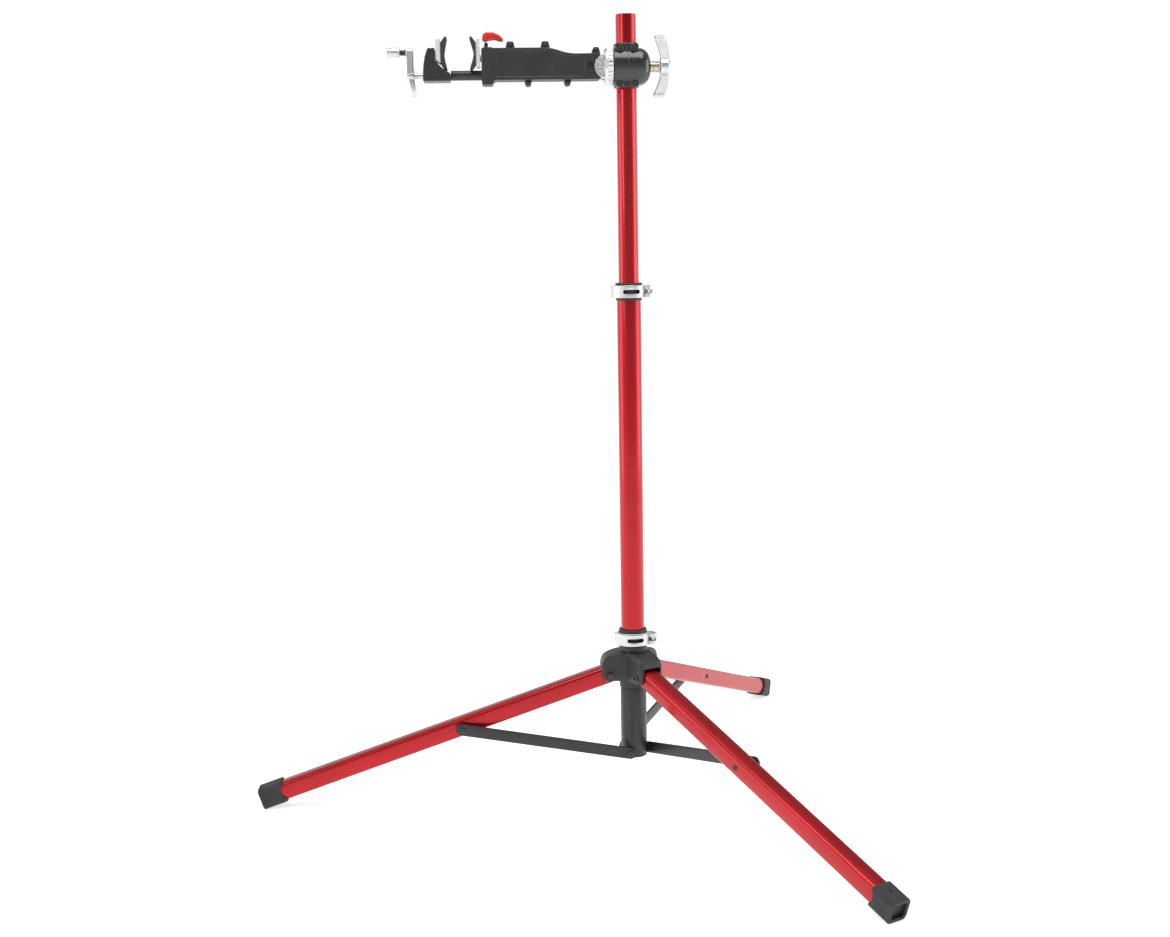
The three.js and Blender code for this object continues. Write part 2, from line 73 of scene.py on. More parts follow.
MAST_LOW, MAST_HIGH = node_box("inner_tube")
MAST_X = (MAST_LOW.x + MAST_HIGH.x) / 2
ON_MAST = Matrix.Translation((MAST_X * MM, 0, 0)) @ Matrix.Scale(MM, 4)


def on_mast(node):
    """A node's box with X counted from the mast's axis."""
    low, high = node_box(node)
    shift = Vector((MAST_X, 0, 0))
    return low - shift, high - shift


def joint_place(name):
    """A joint's point in millimetres, X counted from the mast's axis."""
    return Vector(JOINTS[name]["pos_m"]) / MM - Vector((MAST_X, 0, 0))


HEAD_Z = joint_place("arm_roll").z
FOLD_X = joint_place("arm_fold").x
ROD_Z = joint_place("crank_turn").z
GRIP_Z = joint_place("grip_spin").z
HEAD_LINE = (0, 0, HEAD_Z)
ROD_LINE = (0, 0, ROD_Z)
LEG_FALL = math.radians(18.54)
SLIDE_BORE = 19.35
PIVOT_BORE = 4.2
BRACE_BORE = 3.1
BRACE_BOLT_SEAT = 26.9
AIR = 0.3


def leg_angle(number):
    """Direction in which a leg points, from its fold axis."""
    axis = JOINTS[f"leg_fold_{number}"]["axis"]
    return math.atan2(-axis[0], axis[1])


PIVOT_R = joint_place("leg_fold_1").xy.length
PIVOT_Z = joint_place("leg_fold_1").z
BRACE_ON_LEG = (joint_place("brace_fold_1").xy.length - PIVOT_R) / math.cos(LEG_FALL)
FOOT_BOLT_LOW, FOOT_BOLT_HIGH = on_mast("brace_post_bolt_1")
BRACE_FOOT_R = -(FOOT_BOLT_LOW.x + FOOT_BOLT_HIGH.x) / 2
BRACE_FOOT_Z = (FOOT_BOLT_LOW.z + FOOT_BOLT_HIGH.z) / 2


def beside_leg(number):
    """From a leg's own upright plane (X outwards, Y along the pivot bolt) to the frame."""
    return ON_MAST @ Matrix.Rotation(leg_angle(number), 4, "Z")


def along_leg(number):
    """From a leg's own line (X down the leg, from its pivot) to the frame."""
    pivot = Matrix.Translation((PIVOT_R, 0, PIVOT_Z))
    return beside_leg(number) @ pivot @ Matrix.Rotation(LEG_FALL, 4, "Y")


# ---- sizes and colours a user may change


class StandSizes(bpy.types.PropertyGroup):
    """Sizes of the details; the frame sets everything else."""

    rim: FloatProperty(
        name="Tube rim", description="Rounding of the cut ends of the tubes",
        default=0.0005, unit="LENGTH", subtype="DISTANCE", min=0.0001, max=0.002,
    )
    crown: FloatProperty(
        name="Leg crown", description="How far each leg's faces bow outwards",
        default=0.0006, unit="LENGTH", subtype="DISTANCE", min=0, max=0.002,
    )
    casting_grid: FloatProperty(
        name="Casting grid", description="Cell size from which cast pieces are moulded",
        default=0.0006, unit="LENGTH", subtype="DISTANCE", min=0.0003, max=0.002,
    )
    edge: FloatProperty(
        name="Plate edge", description="Rounding of stamped and turned edges",
        default=0.0006, unit="LENGTH", subtype="DISTANCE", min=0.0001, max=0.002,
    )
    floor_half: FloatProperty(
        name="Floor", description="Half of the studio floor's width",
        default=9.0, unit="LENGTH", subtype="DISTANCE", min=2, max=20,
    )


class StandColours(bpy.types.PropertyGroup):
    """Base colours of the finishes."""

    anodised: FloatVectorProperty(
        name="Anodised red", description="Tubes and legs", subtype="COLOR", size=4,
        default=(0.43, 0.005, 0.010, 1), min=0, max=1,
    )
    lever_red: FloatVectorProperty(
        name="Lever red", description="Moulded release lever", subtype="COLOR", size=4,
        default=(0.72, 0.020, 0.024, 1), min=0, max=1,
    )
    nylon: FloatVectorProperty(
        name="Black nylon", description="Hub and arm shells", subtype="COLOR", size=4,
        default=(0.022, 0.022, 0.021, 1), min=0, max=1,
    )
    enamel: FloatVectorProperty(
        name="Black enamel", description="Head casting, braces and mast foot", subtype="COLOR", size=4,
        default=(0.020, 0.020, 0.020, 1), min=0, max=1,
    )
    rubber: FloatVectorProperty(
        name="Rubber", description="Feet and jaw pads", subtype="COLOR", size=4,
        default=(0.026, 0.027, 0.029, 1), min=0, max=1,
    )
    silver: FloatVectorProperty(
        name="Cast silver", description="Collars, knob, ring and crank", subtype="COLOR", size=4,
        default=(0.64, 0.65, 0.655, 1), min=0, max=1,
    )
    plated: FloatVectorProperty(
        name="Yellow plating", description="Spacer behind the knob", subtype="COLOR", size=4,
        default=(0.56, 0.48, 0.37, 1), min=0, max=1,
    )
    fastener: FloatVectorProperty(
        name="Fastener", description="Black-oxide screws and bolts", subtype="COLOR", size=4,
        default=(0.06, 0.06, 0.062, 1), min=0, max=1,
    )


# ---- finishes


def grained(material, scale, depth, roughness, stretch=(1, 1, 1)):
    """Fine grain in the piece's own coordinates: a bump, with a roughness that follows it."""
    nodes, links = material.node_tree.nodes, material.node_tree.links
    shader = nodes["Principled BSDF"]
    place = nodes.new("ShaderNodeTexCoord")
    mapping = nodes.new("ShaderNodeMapping")
    mapping.inputs["Scale"].default_value = stretch
    noise = nodes.new("ShaderNodeTexNoise")
    noise.inputs["Scale"].default_value = scale
    noise.inputs["Detail"].default_value = 3
    bump = nodes.new("ShaderNodeBump")
    bump.inputs["Strength"].default_value = depth
    bump.inputs["Distance"].default_value = MM
    spread = nodes.new("ShaderNodeMapRange")
    spread.inputs["From Min"].default_value = 0.3
    spread.inputs["From Max"].default_value = 0.7
    spread.inputs["To Min"].default_value, spread.inputs["To Max"].default_value = roughness
    links.new(place.outputs["Object"], mapping.inputs["Vector"])
    links.new(mapping.outputs["Vector"], noise.inputs["Vector"])
    links.new(noise.outputs["Fac"], bump.inputs["Height"])
    links.new(bump.outputs["Normal"], shader.inputs["Normal"])
    links.new(noise.outputs["Fac"], spread.inputs["Value"])
    links.new(spread.outputs["Result"], shader.inputs["Roughness"])


def tinted(material, base, shade, scale):
    """Slow change of colour over the surface, between the base and a shaded tone of it."""
    nodes, links = material.node_tree.nodes, material.node_tree.links
    place = nodes.new("ShaderNodeTexCoord")
    cloud = nodes.new("ShaderNodeTexNoise")
    cloud.inputs["Scale"].default_value = scale
    cloud.inputs["Detail"].default_value = 4
    ramp = nodes.new("ShaderNodeValToRGB")
    ramp.color_ramp.elements[0].position = 0.35
    ramp.color_ramp.elements[1].position = 0.68
    ramp.color_ramp.elements[0].color = [channel * shade for channel in base[:3]] + [1]
    ramp.color_ramp.elements[1].color = base
    links.new(place.outputs["Object"], cloud.inputs["Vector"])
    links.new(cloud.outputs["Fac"], ramp.inputs["Fac"])
    links.new(ramp.outputs["Color"], nodes["Principled BSDF"].inputs["Base Color"])


def painted_edge_highlight(material, base, edge_highlight, start, end):
    """Paints a highlight on the crests of a casting: convex edges are coloured lighter, as if they catch the
    light; start and end are pointiness.
    """
    nodes, links = material.node_tree.nodes, material.node_tree.links
    geometry = nodes.new("ShaderNodeNewGeometry")
    ramp = nodes.new("ShaderNodeValToRGB")
    ramp.color_ramp.elements[0].position = start
    ramp.color_ramp.elements[1].position = end
    ramp.color_ramp.elements[0].color = base
    ramp.color_ramp.elements[1].color = edge_highlight
    links.new(geometry.outputs["Pointiness"], ramp.inputs["Fac"])
    links.new(ramp.outputs["Color"], nodes["Principled BSDF"].inputs["Base Color"])


def new_finish(name, colour, metallic, specular=0.5, coat=0.0):
    material = bpy.data.materials.new(name)
    material.use_nodes = True
    shader = material.node_tree.nodes["Principled BSDF"]
    shader.inputs["Base Color"].default_value = colour
    shader.inputs["Metallic"].default_value = metallic
    shader.inputs["Specular IOR Level"].default_value = specular
    shader.inputs["Coat Weight"].default_value = coat
    shader.inputs["Coat Roughness"].default_value = 0.12
    return material


def anodised_finish(name, along, roughness, coat, grain):
    """Red dye over drawn aluminium; the drawing lines run along the tube."""
    colour = bpy.context.scene.stand_colours.anodised
    material = new_finish(name, colour, metallic=0.9, coat=coat)
    stretch = [0.04 if axis == along else 1 for axis in "XYZ"]
    grained(material, 2400, grain, (roughness - 0.04, roughness + 0.06), stretch)
    tinted(material, colour, 0.86, 9)
    return material


def moulded_finish(name, colour, roughness, depth, scale=1700):
    """Matt plastic or rubber with the fine texture of its mould."""
    material = new_finish(name, colour, metallic=0.0, specular=0.45)
    grained(material, scale, depth, (roughness - 0.06, roughness + 0.06))
    tinted(material, colour, 0.75, 35)
    return material


def enamel_finish(name, colour, roughness):
    """Glossy baked paint over a casting."""
    material = new_finish(name, colour, metallic=0.0, coat=0.2)
    grained(material, 260, 0.03, (roughness - 0.03, roughness + 0.05))
    # painted highlight: the casting's crests are coloured lighter grey, as if they catch the light
    painted_edge_highlight(material, colour, edge_highlight=(0.075, 0.075, 0.076, 1), start=0.53, end=0.62)
    return material


def metal_finish(name, colour, roughness, metallic=0.9):
    """Cast, pressed, plated or blackened metal with a faintly uneven surface."""
    material = new_finish(name, colour, metallic=metallic)
    grained(material, 300, 0.012, (roughness - 0.03, roughness + 0.05))
    tinted(material, colour, 0.86, 60)
    return material


def make_finishes():
    """One material for each finish, shared by its pieces."""
    colours = bpy.context.scene.stand_colours
    return {
        "anodised": anodised_finish("anodised_red_mast", "Z", 0.38, 0.45, 0.04),
        "anodised_bright": anodised_finish("anodised_red_bright", "Z", 0.30, 0.55, 0.015),
        "anodised_leg": anodised_finish("anodised_red_leg", "X", 0.42, 0.45, 0.04),
        "lever_red": moulded_finish("moulded_red", colours.lever_red, 0.36, 0.04, 900),
        "nylon": moulded_finish("black_nylon", colours.nylon, 0.46, 0.16),
        "satin": moulded_finish("black_satin", colours.enamel, 0.38, 0.06, 1100),
        "enamel": enamel_finish("black_enamel", colours.enamel, 0.22),
        "rubber": moulded_finish("black_rubber", colours.rubber, 0.68, 0.30, 1300),
        "silver": metal_finish("cast_silver", colours.silver, 0.34),
        "pressed": metal_finish("pressed_plate", (0.74, 0.75, 0.755, 1), 0.45, 0.5),
        "plated": metal_finish("yellow_plating", colours.plated, 0.26),
        "fastener": metal_finish("black_oxide", colours.fastener, 0.34),
        "steel": metal_finish("bright_steel", (0.58, 0.58, 0.59, 1), 0.28),
    }


FINISHES = {}


def finish_of(name):
    if not FINISHES:
        FINISHES.update(make_finishes())
    return FINISHES[name]


# ---- mesh building, in millimetres


def piece_from(name, bm):
    bmesh.ops.recalc_face_normals(bm, faces=bm.faces)
    mesh = bpy.data.meshes.new(name)
    bm.to_mesh(mesh)
    bm.free()
    obj = bpy.data.objects.new(name, mesh)
    bpy.context.scene.collection.objects.link(obj)
    return obj


TURN_TO = {
    "X": Matrix.Rotation(math.pi / 2, 4, "Y"),
    "Y": Matrix.Rotation(-math.pi / 2, 4, "X"),
    "Z": Matrix.Identity(4),
}


def turned(name, profile, axis="Z", steps=72, at=(0, 0, 0)):
    """A closed [radius, height] profile spun about an axis; open ends must lie on it."""
    bm = bmesh.new()
    rings = []
    for radius, height in profile:
        if radius < 1e-6:
            rings.append([bm.verts.new((0, 0, height))] * steps)
            continue
        angles = (2 * math.pi * i / steps for i in range(steps))
        rings.append([bm.verts.new((radius * math.cos(a), radius * math.sin(a), height)) for a in angles])
    closes = profile[0][0] > 1e-6
    pairs = list(zip(rings, rings[1:])) + ([(rings[-1], rings[0])] if closes else [])
    for low, high in pairs:
        for i in range(steps):
            j = (i + 1) % steps
            corners = list(dict.fromkeys([low[i], low[j], high[j], high[i]]))
            if len(corners) > 2:
                bm.faces.new(corners)
    bm.transform(Matrix.Translation(at) @ TURN_TO[axis])
    return piece_from(name, bm)


def rod(name, radius, start, end, axis="Z", steps=48, at=(0, 0, 0)):
    return turned(name, [(0, start), (radius, start), (radius, end), (0, end)], axis, steps, at)


def drill(radius, axis="Y", steps=48, at=(0, 0, 0)):
    """A round cutter longer than any piece it passes through."""
    return rod("drill", radius, -40, 40, axis, steps, at)


def arc(x, y, radius, start, end, count=10):
    """Points on an arc, angles in degrees."""
    for i in range(count + 1):
        angle = math.radians(start + (end - start) * i / count)
        yield x + radius * math.cos(angle), y + radius * math.sin(angle)


def belt(first, second, count=14):
    """Outline of two circles (x, y, radius) wrapped by a taut belt."""
    (x0, y0, r0), (x1, y1, r1) = first, second
    along = math.degrees(math.atan2(y1 - y0, x1 - x0))
    half = math.degrees(math.acos((r0 - r1) / math.hypot(x1 - x0, y1 - y0)))
    tip = arc(x1, y1, r1, along - half, along + half, count)
    tail = arc(x0, y0, r0, along + half, along - half + 360, count)
    return [*tip, *tail]


def rounded(corners, radius, count=5):
    """The outline with each corner replaced by an arc-like fillet."""
    points = []
    for i, corner in enumerate(corners):
        here = Vector(corner)
        before = Vector(corners[i - 1]) - here
        after = Vector(corners[(i + 1) % len(corners)]) - here
        reach = min(radius, before.length * 0.45, after.length * 0.45)
        start, end = here + before.normalized() * reach, here + after.normalized() * reach
        for step in range(count + 1):
            t = step / count
            points.append(tuple((1 - t) ** 2 * start + 2 * t * (1 - t) * here + t * t * end))
    return points


PLANE_TO = {
    "XZ": Matrix(((1, 0, 0, 0), (0, 0, -1, 0), (0, 1, 0, 0), (0, 0, 0, 1))),
    "YZ": Matrix(((0, 0, 1, 0), (1, 0, 0, 0), (0, 1, 0, 0), (0, 0, 0, 1))),
    "XY": Matrix.Identity(4),
}


def plate(name, outline, thickness, plane="XZ", at=(0, 0, 0)):
    """A flat outline given thickness, centred on its plane."""
    bm = bmesh.new()
    half = thickness / 2
    near = [bm.verts.new((x, y, -half)) for x, y in outline]
    far = [bm.verts.new((x, y, half)) for x, y in outline]
    bm.faces.new(near[::-1])
    bm.faces.new(far)
    for i in range(len(outline)):
        j = (i + 1) % len(outline)
        bm.faces.new((near[i], near[j], far[j], far[i]))
    bm.transform(Matrix.Translation(at) @ PLANE_TO[plane])
    return piece_from(name, bm)


def box(name, x, y, z):
    """A plain block from its three (lowest, highest) spans."""
    corners = [(x[0], z[0]), (x[1], z[0]), (x[1], z[1]), (x[0], z[1])]
    return plate(name, corners, y[1] - y[0], at=(0, (y[0] + y[1]) / 2, 0))


def lofted(name, loops):
    """Loops of equally many points joined in order, with the first and last one capped."""
    bm = bmesh.new()
    rings = [[bm.verts.new(point) for point in loop] for loop in loops]
    count = len(rings[0])
    for low, high in zip(rings, rings[1:]):
        for i in range(count):
            j = (i + 1) % count
            bm.faces.new((low[i], low[j], high[j], high[i]))
    bm.faces.new(rings[0][::-1])
    bm.faces.new(rings[-1])
    return piece_from(name, bm)


def settle(obj):
    """Applies the piece's modifiers to its mesh."""
    graph = bpy.context.evaluated_depsgraph_get()
    mesh = bpy.data.meshes.new_from_object(obj.evaluated_get(graph))
    obj.modifiers.clear()
    old, obj.data = obj.data, mesh
    bpy.data.meshes.remove(old)
    return obj


def shaped(obj, operation, tools):
    """Joins tools to a piece or cuts them from it, and uses the tools up."""
    for tool in tools:
        step = obj.modifiers.new("shape", "BOOLEAN")
        step.object = tool
        step.operation = operation
        step.solver = "EXACT"
        settle(obj)
        bpy.data.objects.remove(tool)
    return obj


def joined(obj, *tools):
    return shaped(obj, "UNION", tools)


def cut(obj, *tools):
    return shaped(obj, "DIFFERENCE", tools)


def kept_within(obj, *tools):
    return shaped(obj, "INTERSECT", tools)


def merged(obj, *others):
    """Adds the shells of other pieces to a piece that cast() then fuses into one."""
    bm = bmesh.new()
    bm.from_mesh(obj.data)
    for other in others:
        bm.from_mesh(other.data)
        bpy.data.objects.remove(other)
    bm.to_mesh(obj.data)
    bm.free()


def eased(obj, width=None, angle=35, segments=3):
    """Rounds the sharp edges of a turned or stamped piece."""
    step = obj.modifiers.new("edge", "BEVEL")
    step.width = width if width else bpy.context.scene.stand_sizes.edge / MM
    step.segments = segments
    step.limit_method = "ANGLE"
    step.angle_limit = math.radians(angle)
    return settle(obj)


def cast(obj, grid=None, passes=6, share=0.35):
    """Remoulds a piece with the softly rounded edges of a casting."""
    remould = obj.modifiers.new("mould", "REMESH")
    remould.mode = "VOXEL"
    remould.voxel_size = grid if grid else bpy.context.scene.stand_sizes.casting_grid / MM
    relax = obj.modifiers.new("relax", "SMOOTH")
    relax.factor = 0.5
    relax.iterations = passes
    lighten = obj.modifiers.new("lighten", "DECIMATE")
    lighten.ratio = share
    return settle(obj)


CREASE = math.radians(32)


def fitted(obj, finish, body, node, place=ON_MAST):
    """Puts a finished piece in its node's place, with its shading, material and body."""
    obj.data.transform(place)
    obj.data.shade_smooth()
    obj.data.set_sharp_from_angle(angle=CREASE)
    obj.data.materials.clear()
    obj.data.materials.append(finish_of(finish))
    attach(obj, body)
    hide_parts(node)


def socket_screw(name, radius, height, key, at, shank=(), flip=False):
    """A domed screw along Y with a hexagonal recess; its head rises from height zero."""
    way = -1 if flip else 1
    rim, steps = 0.35, 8
    angles = (math.pi / 2 * i / steps for i in range(steps))
    dome = [(radius * math.cos(a), height * (rim + (1 - rim) * math.sin(a))) for a in angles]
    profile = [(0, 0), (radius, 0), *dome, (0, height)]
    if shank:
        thickness, length = shank
        profile = [(0, -length), (thickness, -length), (thickness, 0), *profile[1:]]
    screw = turned(name, [(r, way * h) for r, h in profile], "Y", 40, at)
    recess = rod("recess", key, way * height * rim, way * (height + 1), "Y", 6, at)
    return cut(screw, recess)


class StandOperator:
    """Shared by the operators that build the stand."""

    bl_options = {"REGISTER", "UNDO"}


# ---- mast


class STAND_OT_mast(StandOperator, bpy.types.Operator):
    """Build the two tubes, the sleeve at the mast's foot and the bush between the tubes"""

    bl_idname = "stand.mast"
    bl_label = "Mast"

    wall = 1.5

    def tube(self, node):
        low, high = on_mast(node)
        outside = (high.x - low.x) / 2
        inside = outside - self.wall
        profile = [(inside, low.z), (outside, low.z), (outside, high.z), (inside, high.z)]
        return eased(turned("visual_" + node, profile, steps=112), bpy.context.scene.stand_sizes.rim / MM)

    def execute(self, context):
        fitted(self.tube("outer_tube"), "anodised", "mast", "outer_tube")
        inner = cut(self.tube("inner_tube"), drill(8, "X", at=HEAD_LINE))
        fitted(inner, "anodised_bright", "upper", "inner_tube")

        low, high = on_mast("centre_post")
        outside = 21.5
        post = eased(turned("visual_centre_post", [
            (SLIDE_BORE, low.z), (outside, low.z), (outside, high.z), (SLIDE_BORE, high.z)], steps=112), 0.9)
        bosses = []
        for number in (1, 2, 3):
            boss = rod("boss", 8, 19.6, 22, "Y", at=(BRACE_FOOT_R, 0, BRACE_FOOT_Z))
            boss.data.transform(Matrix.Rotation(leg_angle(number), 4, "Z"))
            bosses.append(boss)
        fitted(eased(joined(post, *bosses), 0.5), "satin", "mast", "centre_post")

        low, high = on_mast("post_plug")
        plug = turned("visual_post_plug", [
            (0, low.z), (8, low.z), (9, low.z + 0.8), (16, low.z + 0.8), (18.8, low.z + 2.6),
            (18.8, high.z), (0, high.z)], steps=72)
        fitted(eased(plug, 0.4), "rubber", "mast", "post_plug")

        low, high = on_mast("upper_bush")
        lip = (high.x - low.x) / 2
        bush = turned("visual_upper_bush", [
            (16.2, low.z), (17.25, low.z), (17.25, high.z - 3), (SLIDE_BORE, high.z - 3),
            (SLIDE_BORE, low.z + 6), (20.8, low.z + 6), (20.8, high.z - 3), (lip, high.z - 2.4),
            (lip, high.z - 0.8), (lip - 0.8, high.z), (16.9, high.z), (16.2, high.z - 0.7)], steps=96)
        fitted(bush, "nylon", "mast", "upper_bush")

        low, high = on_mast("tube_plug")
        radius = (high.x - low.x) / 2
        plug = turned("visual_tube_plug", [
            (0, low.z), (radius, low.z), (radius, high.z - 1), (radius - 1, high.z), (6, high.z - 0.6),
            (0, high.z - 0.4)], steps=72)
        fitted(plug, "nylon", "upper", "tube_plug")
        return {"FINISHED"}


# ---- collars


class STAND_OT_collars(StandOperator, bpy.types.Operator):
    """Build both quick-release collars: band, skewer and cam lever"""

    bl_idname = "stand.collars"
    bl_label = "Collars"

    skewer_gap, cam_y = 5.6, -12.2

    def band(self, node, bore):
        low, high = on_mast(node)
        outside = -low.x
        middle, height = (low.z + high.z) / 2, high.z - low.z
        skewer = outside + self.skewer_gap
        band = turned("visual_" + node, [
            (bore, low.z), (outside - 0.9, low.z), (outside, low.z + 1.4), (outside - 0.7, low.z + 3.2),
            (outside - 0.7, high.z - 3.2), (outside, high.z - 1.4), (outside - 0.9, high.z), (bore, high.z)],
            steps=96)
        ears = plate("ears", belt((14, middle, height * 0.43), (skewer, middle, 8.4)), 11.6)
        inside = rod("inside", bore, low.z - 2, high.z + 2, steps=96)
        slit = box("slit", (0, 50), (-1, 1), (low.z - 2, high.z + 2))
        window = plate("window", belt((-9.5, middle, 4.2), (13.5, middle, 4.2)), 30, at=(0, -24, 0))
        hole = rod("hole", 2.6, -12, 12, "Y", at=(skewer, 0, middle))
        return cast(cut(joined(band, ears), inside, slit, hole, window), 0.42, 3, 0.4)

    def skewer(self, node, at_x, middle):
        shaft = rod("visual_" + node, 2.3, -12.2, 12.4, "Y", 40, (at_x, 0, middle))
        pin = rod("pin", 2.6, -8.4, 8.4, "Z", 40, (at_x, self.cam_y, middle))
        nut = rod("nut", 5, 6.2, 10.6, "Y", 6, (at_x, 0, middle))
        washer = rod("washer", 4.8, 5.9, 6.5, "Y", 40, (at_x, 0, middle))
        return eased(joined(shaft, pin, nut, washer), 0.35, 40, 2)

    def lever(self, node, outside, middle):
        near, far = outside + 0.7, outside + 3.9
        blade_outline = [
            *arc(0, 0, far, -24, -150, 40), (-far + 1.2, -9), (-far - 0.6, -3), (-far - 1.4, 1.4),
            (-far - 0.4, 2.8), (-far + 1.2, 2.2), *arc(0, 0, near, -174, -24, 40),
        ]
        pivot = (outside + self.skewer_gap, self.cam_y, middle)
        blade = plate("visual_" + node, blade_outline, 19, "XY", at=(0, 0, middle))
        cam = rod("cam", 7.4, -9.5, 9.5, at=pivot)
        fork = rod("fork", 9.6, -3, 3, at=pivot)
        bore = rod("bore", 2.9, -10, 10, at=pivot)
        window = plate("window", belt((-8, middle, 3.1), (12.4, middle, 3.1)), 30, at=(0, -30, 0))
        relief = plate("relief", belt((-8, middle, 4.8), (12.4, middle, 4.8)), 30, at=(0, -far - 14.4, 0))
        return cast(cut(joined(blade, cam), fork, bore, window, relief), 0.42, 3, 0.4)

    def execute(self, context):
        for place, body, bore in (("upper", "mast", 21.1), ("lower", "hub", 23.1)):
            node = place + "_collar"
            low, high = on_mast(node)
            middle, outside = (low.z + high.z) / 2, -low.x
            fitted(self.band(node, bore), "silver", body, node)
            skewer = self.skewer(place + "_skewer", outside + self.skewer_gap, middle)
            fitted(skewer, "steel", body, place + "_skewer")
            lever = self.lever(place + "_lever", outside, middle)
            fitted(lever, "silver", place + "_cam", place + "_lever")
        return {"FINISHED"}


# ---- base


class STAND_OT_hub(StandOperator, bpy.types.Operator):
    """Build the sliding hub with its three forks and the bolts the legs turn on"""

    bl_idname = "stand.hub"
    bl_label = "Hub"

    def execute(self, context):
        low, high = on_mast("hub_casting")
        foot, top = low.z, high.z
        neck, fork_face = 22.8, 22.3
        hub = turned("visual_hub", [
            (0, foot), (neck - 0.6, foot), (neck, foot + 0.8), (neck, PIVOT_Z + 46),
            (neck - 0.9, PIVOT_Z + 47), (neck - 0.9, top - 8), (neck, top - 7), (neck, top - 1),
            (neck - 0.8, top), (0, top)], steps=96)
        lobe_side = rounded([
            (6, PIVOT_Z - 11), (46, PIVOT_Z - 11), (53, PIVOT_Z - 5), (53.8, PIVOT_Z + 18),
            (49, PIVOT_Z + 28), (38, PIVOT_Z + 33.5), (26, PIVOT_Z + 37), (6, PIVOT_Z + 40)], 8)
        parts, cuts = [], []
        for number in (1, 2, 3):
            lobe = eased(plate("lobe", lobe_side, 43), 5, 50, 4)
            cheek = [
                rod("cheek", 10.5, start, start + 1.2, "Y", at=(PIVOT_R, 0, PIVOT_Z))
                for start in (-22.2, 21)]
            slot = box("slot", (23.3, 70), (-15.4, 15.4), (PIVOT_Z - 30, PIVOT_Z + 16))
            hole = drill(PIVOT_BORE, at=(PIVOT_R, 0, PIVOT_Z))
            for tool in (lobe, slot, hole, *cheek):
                tool.data.transform(Matrix.Rotation(leg_angle(number), 4, "Z"))
            parts += [lobe, *cheek]
            cuts += [slot, hole]
        bore = rod("bore", SLIDE_BORE, foot - 5, top + 5, steps=96)
        hub = cast(cut(joined(hub, *parts), *cuts, bore), 0.8, 5, 0.35)
        fitted(hub, "nylon", "hub", "hub_casting")

        for number in (1, 2, 3):
            node = f"leg_pivot_bolt_{number}"
            bolt = socket_screw(
                "visual_" + node, 5.6, 2.8, 2.6, (PIVOT_R, -fork_face, PIVOT_Z), shank=(3.9, 43.6), flip=True)
            nut = rod("nut", 6, fork_face, 26, "Y", 6, (PIVOT_R, 0, PIVOT_Z))
            bolt = eased(joined(bolt, nut), 0.4, 40, 2)
            fitted(bolt, "fastener", "hub", node, beside_leg(number))
        return {"FINISHED"}


def box_section(half_w, half_h, corner, x, crown=0.0, count=6):
    """One station of a rounded box section whose flat faces bow outwards a little."""
    points = []
    flat_w, flat_h = half_w - corner, half_h - corner
    corners = ((1, -1), (1, 1), (-1, 1), (-1, -1))
    for quarter, (side_y, side_z) in enumerate(corners):
        start = 90 * quarter - 90
        points += arc(side_y * flat_w, side_z * flat_h, corner, start, start + 90, count)
        next_y, next_z = corners[(quarter + 1) % 4]
        out = Vector((math.cos(math.radians(start + 90)), math.sin(math.radians(start + 90))))
        first = Vector(points[-1])
        last = Vector((next_y * flat_w, next_z * flat_h)) + corner * out
        for t in (0.25, 0.5, 0.75):
            points.append(first.lerp(last, t) + crown * 4 * t * (1 - t) * out)
    return [(x, y, z) for y, z in points]


